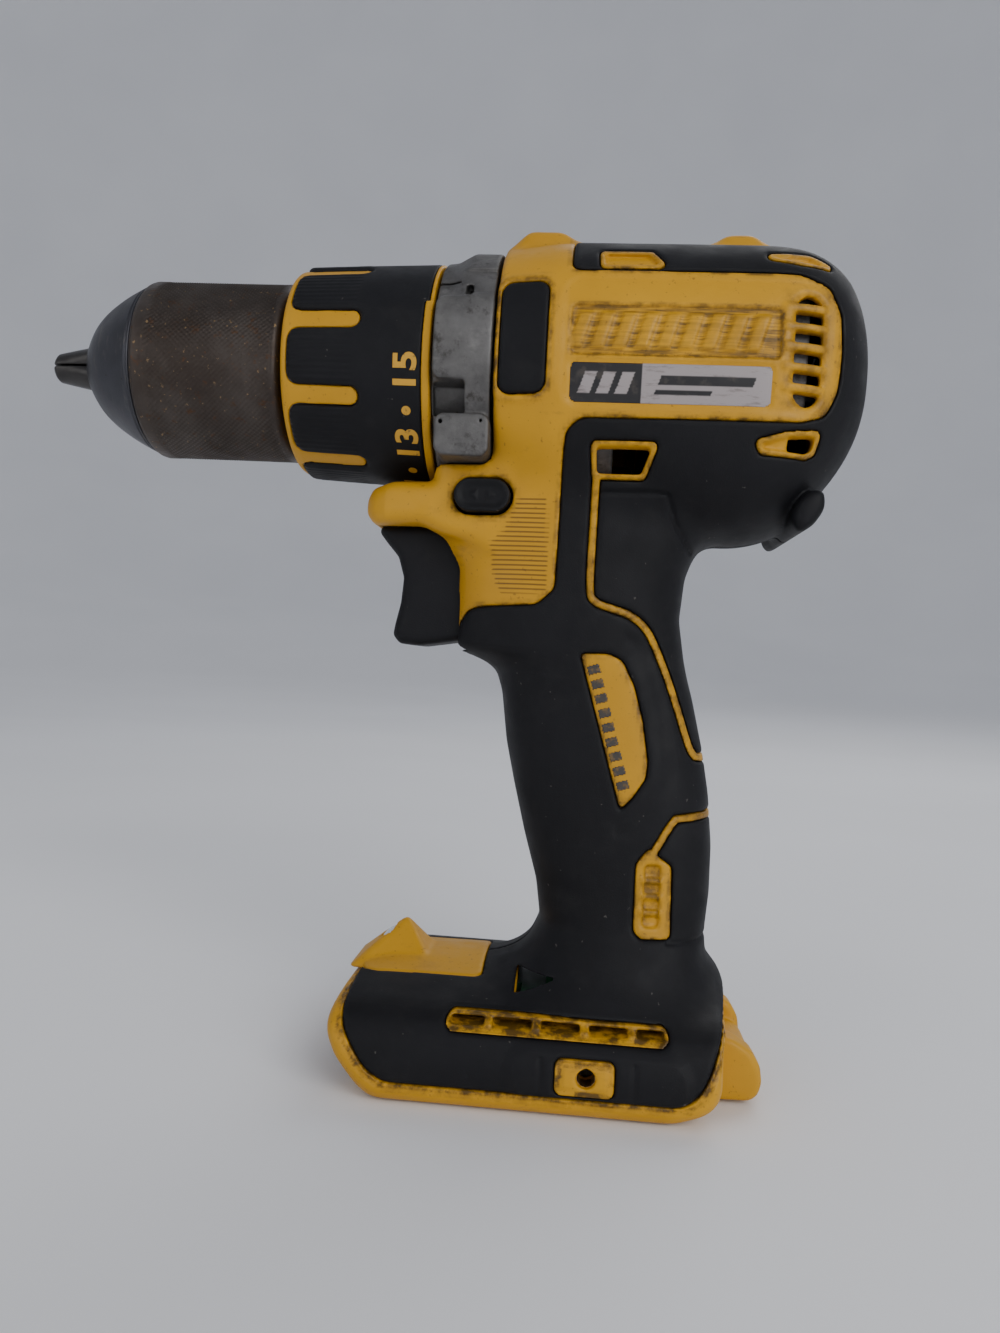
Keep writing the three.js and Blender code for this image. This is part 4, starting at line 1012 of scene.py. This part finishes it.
def make_trigger():
    g = Grid((-29, -9.4, -68), (-1.4, 9.4, -36.6), 0.4 if FINE else 0.6)
    shape = TRIGGER_OUTLINE[:9] + [(-2, -64), (-2, -43), (-8, -40)] + TRIGGER_OUTLINE[12:]
    side = rounded(g, shape, 0.8)
    width = 8.7 - 3.4 * (np.maximum(-15 - g.x, 0) / 13) ** 2
    field = soft_max(side, np.abs(g.y) - width, 2.6)
    return skin("trigger", g, field)


def make_button():
    x0, x1, z0, z1 = BUTTON
    g = Grid((x0 - 0.6, -21.8, z0 - 0.6), (x1 + 0.6, 21.8, z1 + 0.6), 0.3)
    outline = rect(g, x0 + 0.2, x1 - 0.2, z0 + 0.2, z1 - 0.2, 3.8)
    dish = step(outline + 1.3, 1.2) * 0.55
    middle = (x0 + x1) / 2
    for way in (-1, 1):
        tip = middle + way * 2.9
        arrow = polygon(g.x, g.z, [(tip, -31.6), (tip - way * 1.7, -30.5), (tip - way * 1.7, -32.7)])
        dish = dish - step(arrow, 0.4) * 0.3
    field = soft_max(outline + 0 * g.y, np.abs(g.y) - 21.3 + dish, 0.6)
    return skin("direction_button", g, field)


def make_selector():
    g = Grid((28.4, -4.8, 28.8), (37.4, 4.8, 33), 0.25)
    top = 31.7 + 0.55 * ridge((g.x - 30.2) % 1.9 - 0.95, 0.45)
    field = soft_max(box2(g.x, g.y, 29, 36.8, -4.4, 4.4, 0.8) + 0 * g.z, g.z - top, 0.4)
    field = np.maximum(field, 29.4 - g.z)
    return skin("speed_selector", g, field)


def make_lens():
    """Domed lens on the front slope of the hood."""
    g = Grid((-24.6, -3.2, -142), (-16.6, 3.2, -134), 0.2)
    along, off = on_slope(g)
    spread = np.hypot(along, g.y)
    field = soft_max(spread - 2.5, off - 0.1 + spread ** 2 * 0.12, 0.3)
    field = np.maximum(field, -1.4 - off)
    return skin("led_lens", g, field)


# ---- Materials ----------------------------------------------------------------------------------
class Nodes:
    """Short calls for building one material's node tree."""

    def __init__(self, name):
        self.material = bpy.data.materials.new(name)
        self.material.use_nodes = True
        self.tree = self.material.node_tree
        self.shader = self.tree.nodes["Principled BSDF"]
        self.place = self.add("ShaderNodeTexCoord").outputs["Object"]

    def add(self, kind, **values):
        node = self.tree.nodes.new(kind)
        for key, value in values.items():
            setattr(node, key, value)
        return node

    def join(self, output, socket):
        self.tree.links.new(output, socket)

    def noise(self, scale, detail=4, roughness=0.55, stretch=None):
        node = self.add("ShaderNodeTexNoise")
        place = self.place
        if stretch:
            mapping = self.add("ShaderNodeMapping")
            mapping.inputs["Scale"].default_value = stretch
            self.join(place, mapping.inputs["Vector"])
            place = mapping.outputs["Vector"]
        self.join(place, node.inputs["Vector"])
        node.inputs["Scale"].default_value = scale
        node.inputs["Detail"].default_value = detail
        node.inputs["Roughness"].default_value = roughness
        return node.outputs["Fac"]

    def steps(self, value, low, high, start=0.0, end=1.0):
        node = self.add("ShaderNodeMapRange", clamp=True)
        self.join(value, node.inputs["Value"])
        for key, number in zip(("From Min", "From Max", "To Min", "To Max"), (low, high, start, end)):
            node.inputs[key].default_value = number
        return node.outputs["Result"]

    def height(self):
        node = self.add("ShaderNodeSeparateXYZ")
        self.join(self.place, node.inputs["Vector"])
        return node.outputs["Z"]

    def math(self, operation, a, b=0.0, clamp=True):
        node = self.add("ShaderNodeMath", operation=operation, use_clamp=clamp)
        for i, value in enumerate((a, b)):
            if isinstance(value, (int, float)):
                node.inputs[i].default_value = value
            else:
                self.join(value, node.inputs[i])
        return node.outputs["Value"]

    def mix(self, share, a, b):
        node = self.add("ShaderNodeMix", data_type="RGBA")
        self.join(share, node.inputs["Factor"])
        for key, value in ((6, a), (7, b)):
            if isinstance(value, tuple):
                node.inputs[key].default_value = (*value, 1)
            else:
                self.join(value, node.inputs[key])
        return node.outputs[2]

    def mark(self, name):
        return self.add("ShaderNodeAttribute", attribute_name=name).outputs["Fac"]

    def bump(self, height, strength, distance, after=None):
        node = self.add("ShaderNodeBump")
        node.inputs["Strength"].default_value = strength
        node.inputs["Distance"].default_value = distance
        self.join(height, node.inputs["Height"])
        if after is not None:
            self.join(after, node.inputs["Normal"])
        return node.outputs["Normal"]

    def finish(self, color, roughness, normal=None, metallic=0.0, **fixed):
        for value, key in ((color, "Base Color"), (roughness, "Roughness"), (normal, "Normal")):
            if value is None:
                continue
            if isinstance(value, tuple):
                self.shader.inputs[key].default_value = (*value, 1)
            elif isinstance(value, (int, float)):
                self.shader.inputs[key].default_value = value
            else:
                self.join(value, self.shader.inputs[key])
        self.shader.inputs["Metallic"].default_value = metallic
        for key, value in fixed.items():
            self.shader.inputs[key.replace("_", " ")].default_value = value
        return self.material


ENGRAVED_PITCH = 1.07


def yellow_plastic():
    n = Nodes("worn_yellow_plastic")
    broad = n.noise(38, 3)
    blotch = n.noise(260, 5, 0.65)
    speck = n.noise(900, 2)
    streak = n.noise(120, 4, 0.6, (1, 1, 14))
    clean = n.mix(n.steps(broad, 0.35, 0.7), (0.50, 0.245, 0.004), (0.60, 0.30, 0.006))
    worn = n.mix(n.steps(speck, 0.66, 0.74, 0, 0.55), clean, (0.16, 0.075, 0.012))
    # The housing's edge mark, patchy by blotch noise, darkens the yellow along edges and grooves and in
    # vents and slots: part dirt, part painted shade.
    edge_dirt_and_shade = n.math("MULTIPLY", n.mark("grime_and_shade"), n.steps(blotch, 0.40, 0.60))
    dirty_and_shaded = n.mix(n.math("MULTIPLY", edge_dirt_and_shade, 0.85), worn, (0.024, 0.014, 0.006))
    smear = n.math("MULTIPLY", n.mark("brand"), n.steps(streak, 0.38, 0.62))
    painted = n.mix(n.math("MULTIPLY", smear, 0.78), dirty_and_shaded, (0.035, 0.022, 0.009))
    scuffs = n.steps(n.noise(70, 6, 0.7, (1, 1, 3)), 0.6, 0.72, 0, 0.4)
    scuffed = n.mix(scuffs, painted, (0.20, 0.105, 0.018))
    # Painted shade: the engraved grooves are drawn as dark lines in the colour, with no groove cut or
    # bumped.
    place = n.math("FRACT", n.math("MULTIPLY", n.height(), 1000 / ENGRAVED_PITCH, clamp=False))
    painted_groove_shade = n.steps(n.math("ABSOLUTE", n.math("SUBTRACT", place, 0.5, clamp=False)), 0.1, 0.26, 0.75, 0)
    final = n.mix(n.math("MULTIPLY", painted_groove_shade, n.mark("engraved")), scuffed, (0.075, 0.036, 0.008))
    roughness = n.steps(n.noise(150, 3), 0.3, 0.7, 0.38, 0.58)
    fine = n.bump(n.noise(2600, 2), 0.12, 0.0002)
    dents = n.bump(blotch, 0.12, 0.0006, fine)
    return n.finish(final, roughness, dents, Specular_IOR_Level=0.35)


def rubber():
    n = Nodes("matte_black_overmould")
    broad = n.noise(30, 3)
    speck = n.noise(700, 2, 0.5)
    base = n.mix(n.steps(broad, 0.3, 0.7), (0.0042, 0.0042, 0.0052), (0.0075, 0.0075, 0.0092))
    dusty = n.mix(n.steps(n.noise(90, 6, 0.7), 0.54, 0.78, 0, 0.3), base, (0.024, 0.023, 0.022))
    dotted = n.mix(n.steps(speck, 0.74, 0.78, 0, 0.6), dusty, (0.11, 0.10, 0.09))
    roughness = n.steps(n.noise(120, 4), 0.3, 0.7, 0.5, 0.68)
    grain = n.bump(n.noise(3200, 2), 0.18, 0.0002)
    return n.finish(dotted, roughness, grain, Specular_IOR_Level=0.22)


def knurled_steel():
    n = Nodes("knurled_steel")
    base = n.mix(n.steps(n.noise(60, 4), 0.35, 0.68), (0.055, 0.043, 0.036), (0.10, 0.085, 0.075))
    rust = n.mix(n.steps(n.noise(420, 5, 0.7), 0.58, 0.68, 0, 0.7), base, (0.11, 0.048, 0.018))
    brass = n.mix(n.steps(n.noise(900, 3), 0.66, 0.72, 0, 0.8), rust, (0.30, 0.20, 0.10))
    gloss = n.steps(n.noise(220, 4), 0.3, 0.7, 0.36, 0.6)
    return n.finish(brass, gloss, n.bump(n.noise(1800, 3), 0.2, 0.0003), 0.85)


def nose_steel():
    n = Nodes("smooth_blued_steel")
    base = n.mix(n.steps(n.noise(45, 4), 0.3, 0.7), (0.05, 0.05, 0.057), (0.085, 0.085, 0.095))
    streaks = n.steps(n.noise(160, 5, 0.7, (6, 1, 1)), 0.56, 0.72, 0, 0.55)
    scuffed = n.mix(streaks, base, (0.17, 0.155, 0.14))
    speck = n.mix(n.steps(n.noise(800, 3), 0.68, 0.74, 0, 0.7), scuffed, (0.03, 0.022, 0.018))
    gloss = n.steps(n.noise(120, 5), 0.3, 0.7, 0.3, 0.5)
    return n.finish(speck, gloss, n.bump(n.noise(1500, 3), 0.08, 0.0003), 0.9)


def cast_metal():
    n = Nodes("worn_cast_metal")
    base = n.mix(n.steps(n.noise(90, 5, 0.65), 0.35, 0.65), (0.075, 0.072, 0.070), (0.15, 0.145, 0.14))
    worn = n.mix(n.steps(n.noise(34, 6, 0.7, (1, 1, 1.6)), 0.52, 0.66, 0, 0.75), base, (0.26, 0.25, 0.24))
    dirt = n.mix(n.steps(n.noise(210, 5, 0.7), 0.56, 0.68, 0, 0.75), worn, (0.03, 0.025, 0.021))
    gloss = n.steps(n.noise(160, 5), 0.3, 0.7, 0.42, 0.66)
    pits = n.bump(n.noise(420, 6, 0.7), 0.3, 0.0006)
    return n.finish(dirt, gloss, pits, 0.55)


def painted_mark():
    n = Nodes("worn_yellow_paint")
    gone = n.steps(n.noise(520, 4, 0.6), 0.58, 0.68, 0, 0.75)
    return n.finish(n.mix(gone, (0.60, 0.31, 0.02), (0.05, 0.035, 0.02)), 0.5)


def label_sheet():
    n = Nodes("printed_label")
    scratch = n.steps(n.noise(130, 5, 0.7, (1, 1, 5)), 0.55, 0.68, 0, 0.7)
    pale = n.mix(scratch, (0.33, 0.29, 0.285), (0.12, 0.095, 0.085))
    dark = n.mix(n.steps(n.noise(300, 4), 0.55, 0.7, 0, 0.6), (0.011, 0.010, 0.011), (0.07, 0.055, 0.045))
    return n.finish(n.mix(n.mark("ink"), pale, dark), 0.42)


def dark_print():
    n = Nodes("worn_dark_print")
    worn = n.steps(n.noise(700, 4), 0.5, 0.62, 0, 0.8)
    return n.finish(n.mix(worn, (0.045, 0.037, 0.03), (0.16, 0.09, 0.02)), 0.5)


def plain(name, color, roughness, metallic=0.0, scale=180, change=0.25, **fixed):
    """A finish with mottled colour, uneven gloss and a slight surface texture."""
    n = Nodes(name)
    dark = tuple(c * (1 - change) for c in color)
    light = tuple(min(1, c * (1 + change)) for c in color)
    tint = n.mix(n.steps(n.noise(scale, 4), 0.3, 0.7), dark, light)
    gloss = n.steps(n.noise(scale * 0.7, 3), 0.3, 0.7, roughness * 0.8, min(1, roughness * 1.2))
    normal = n.bump(n.noise(scale * 8, 2), 0.1, 0.0002)
    return n.finish(tint, gloss, normal, metallic, **fixed)


# ---- Stage --------------------------------------------------------------------------------------
def make_stage():
    """A pale floor that curves up far away on every side, and soft lights."""
    rings = [(0, 0), (0.6, 0), (1.2, 0.004), (1.8, 0.05), (2.4, 0.24), (2.9, 0.7), (3.1, 1.4), (3.1, 3.0)]
    count = 96
    points = [
        (radius * math.cos(2 * math.pi * i / count), radius * math.sin(2 * math.pi * i / count),
         FLOOR_Z + height)
        for radius, height in rings[1:] for i in range(count)
    ]
    points.append((0, 0, FLOOR_Z))
    faces = [
        (level * count + i, (level + 1) * count + i,
         (level + 1) * count + (i + 1) % count, level * count + (i + 1) % count)
        for level in range(len(rings) - 2) for i in range(count)
    ]
    faces += [(len(points) - 1, i, (i + 1) % count) for i in range(count)]
    mesh = bpy.data.meshes.new("stage")
    mesh.from_pydata(points, [], faces)
    mesh.polygons.foreach_set("use_smooth", [True] * len(mesh.polygons))
    floor = bpy.data.objects.new("stage", mesh)
    bpy.context.collection.objects.link(floor)
    n = Nodes("stage_paper")
    shade = n.mix(n.steps(n.noise(3, 2), 0.3, 0.7), (0.86, 0.86, 0.87), (0.9, 0.9, 0.91))
    floor.data.materials.append(n.finish(shade, 0.75))

    world = bpy.data.worlds.new("world")
    world.use_nodes = True
    world.node_tree.nodes["Background"].inputs["Color"].default_value = (0.86, 0.9, 1.0, 1)
    world.node_tree.nodes["Background"].inputs["Strength"].default_value = 0.46
    bpy.context.scene.world = world
    lamps = [  # place in m from the drill's middle, power in W, size in m
        ((0.75, -0.95, 0.5), 9, 0.8), ((-0.7, -0.9, 0.3), 2, 0.7), ((0.5, 0.9, 0.9), 4.5, 0.9),
    ]
    middle = Vector((0, 0, 0.1))
    for number, (place, power, size) in enumerate(lamps):
        data = bpy.data.lights.new(f"softbox_{number + 1}", "AREA")
        data.energy = power
        data.size = size
        lamp = bpy.data.objects.new(data.name, data)
        lamp.location = middle + Vector(place)
        lamp.rotation_euler = (middle - lamp.location).to_track_quat("-Z", "Y").to_euler()
        bpy.context.collection.objects.link(lamp)


make_stage()

CAD_FINISHES = {
    "yellow_plastic": yellow_plastic(),
    "overmould": rubber(),
    "knurled_steel": knurled_steel(),
    "dark_steel": plain("dark_steel", (0.06, 0.057, 0.055), 0.38, 0.9),
    "bare_steel": plain("bare_steel", (0.42, 0.42, 0.43), 0.3, 1.0),
    "cast_metal": cast_metal(),
    "brass": plain("brass", (0.55, 0.42, 0.22), 0.35, 1.0),
    "copper": plain("copper", (0.45, 0.17, 0.08), 0.35, 1.0),
    "black_plastic": plain("black_plastic", (0.008, 0.008, 0.009), 0.45),
    "circuit_board": plain("circuit_board", (0.02, 0.10, 0.045), 0.4),
    "lens": plain("lens", (0.72, 0.78, 0.84), 0.12, Specular_IOR_Level=0.7),
    "red_wire": plain("red_wire", (0.35, 0.015, 0.012), 0.4),
    "black_wire": plain("black_wire", (0.012, 0.012, 0.013), 0.4),
}
PAINT = painted_mark()
LABEL = label_sheet()
PRINT = dark_print()
RECORD = frame["record"]
SLOTS = {row["node"]: row["material_slot"] for row in RECORD["subparts"]}
BODY_OF = {node: body for body, nodes in RECORD["behaviour"]["bodies"].items() for node in nodes}


def finish_cad_nodes():
    for name, node in frame["nodes"].items():
        for slot in node.material_slots:
            slot.material = CAD_FINISHES[SLOTS[name]]


def place(piece, body, material, slot, *nodes):
    """Gives a piece its material and body, and hides the CAD nodes that it stands for; slot is not used."""
    piece.data.materials.append(material)
    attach(piece, body)
    if nodes:
        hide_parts(*nodes)


def stand_for(piece, node, material=None):
    """A finer piece in the place of one CAD node."""
    place(piece, BODY_OF[node], material or CAD_FINISHES[SLOTS[node]], SLOTS[node], node)


finish_cad_nodes()
housing = make_housing()
stickers = housing.pop("stickers")
for node, piece in housing.items():
    if node.startswith("vent_baffle"):
        place(piece, "housing", CAD_FINISHES["cast_metal"], "cast_metal")
    else:
        stand_for(piece, node)
for piece in stickers["label"]:
    place(piece, "housing", LABEL, "black_plastic")
for piece in stickers["badge_print"]:
    place(piece, "housing", PRINT, "black_plastic")
for node, piece in make_collar().items():
    stand_for(piece, node)
place(make_scale(), "collar", PAINT, "yellow_plastic")
stand_for(make_nose(), "chuck_nose", nose_steel())
stand_for(make_sleeve(), "chuck_sleeve")
for number, jaw in enumerate(make_jaws()):
    stand_for(jaw, f"jaw_{number + 1}")
makers = {
    "gear_case": make_gear_case, "trigger": make_trigger, "direction_button": make_button,
    "speed_selector": make_selector, "led_lens": make_lens,
}
for node, make in makers.items():
    stand_for(make(), node)
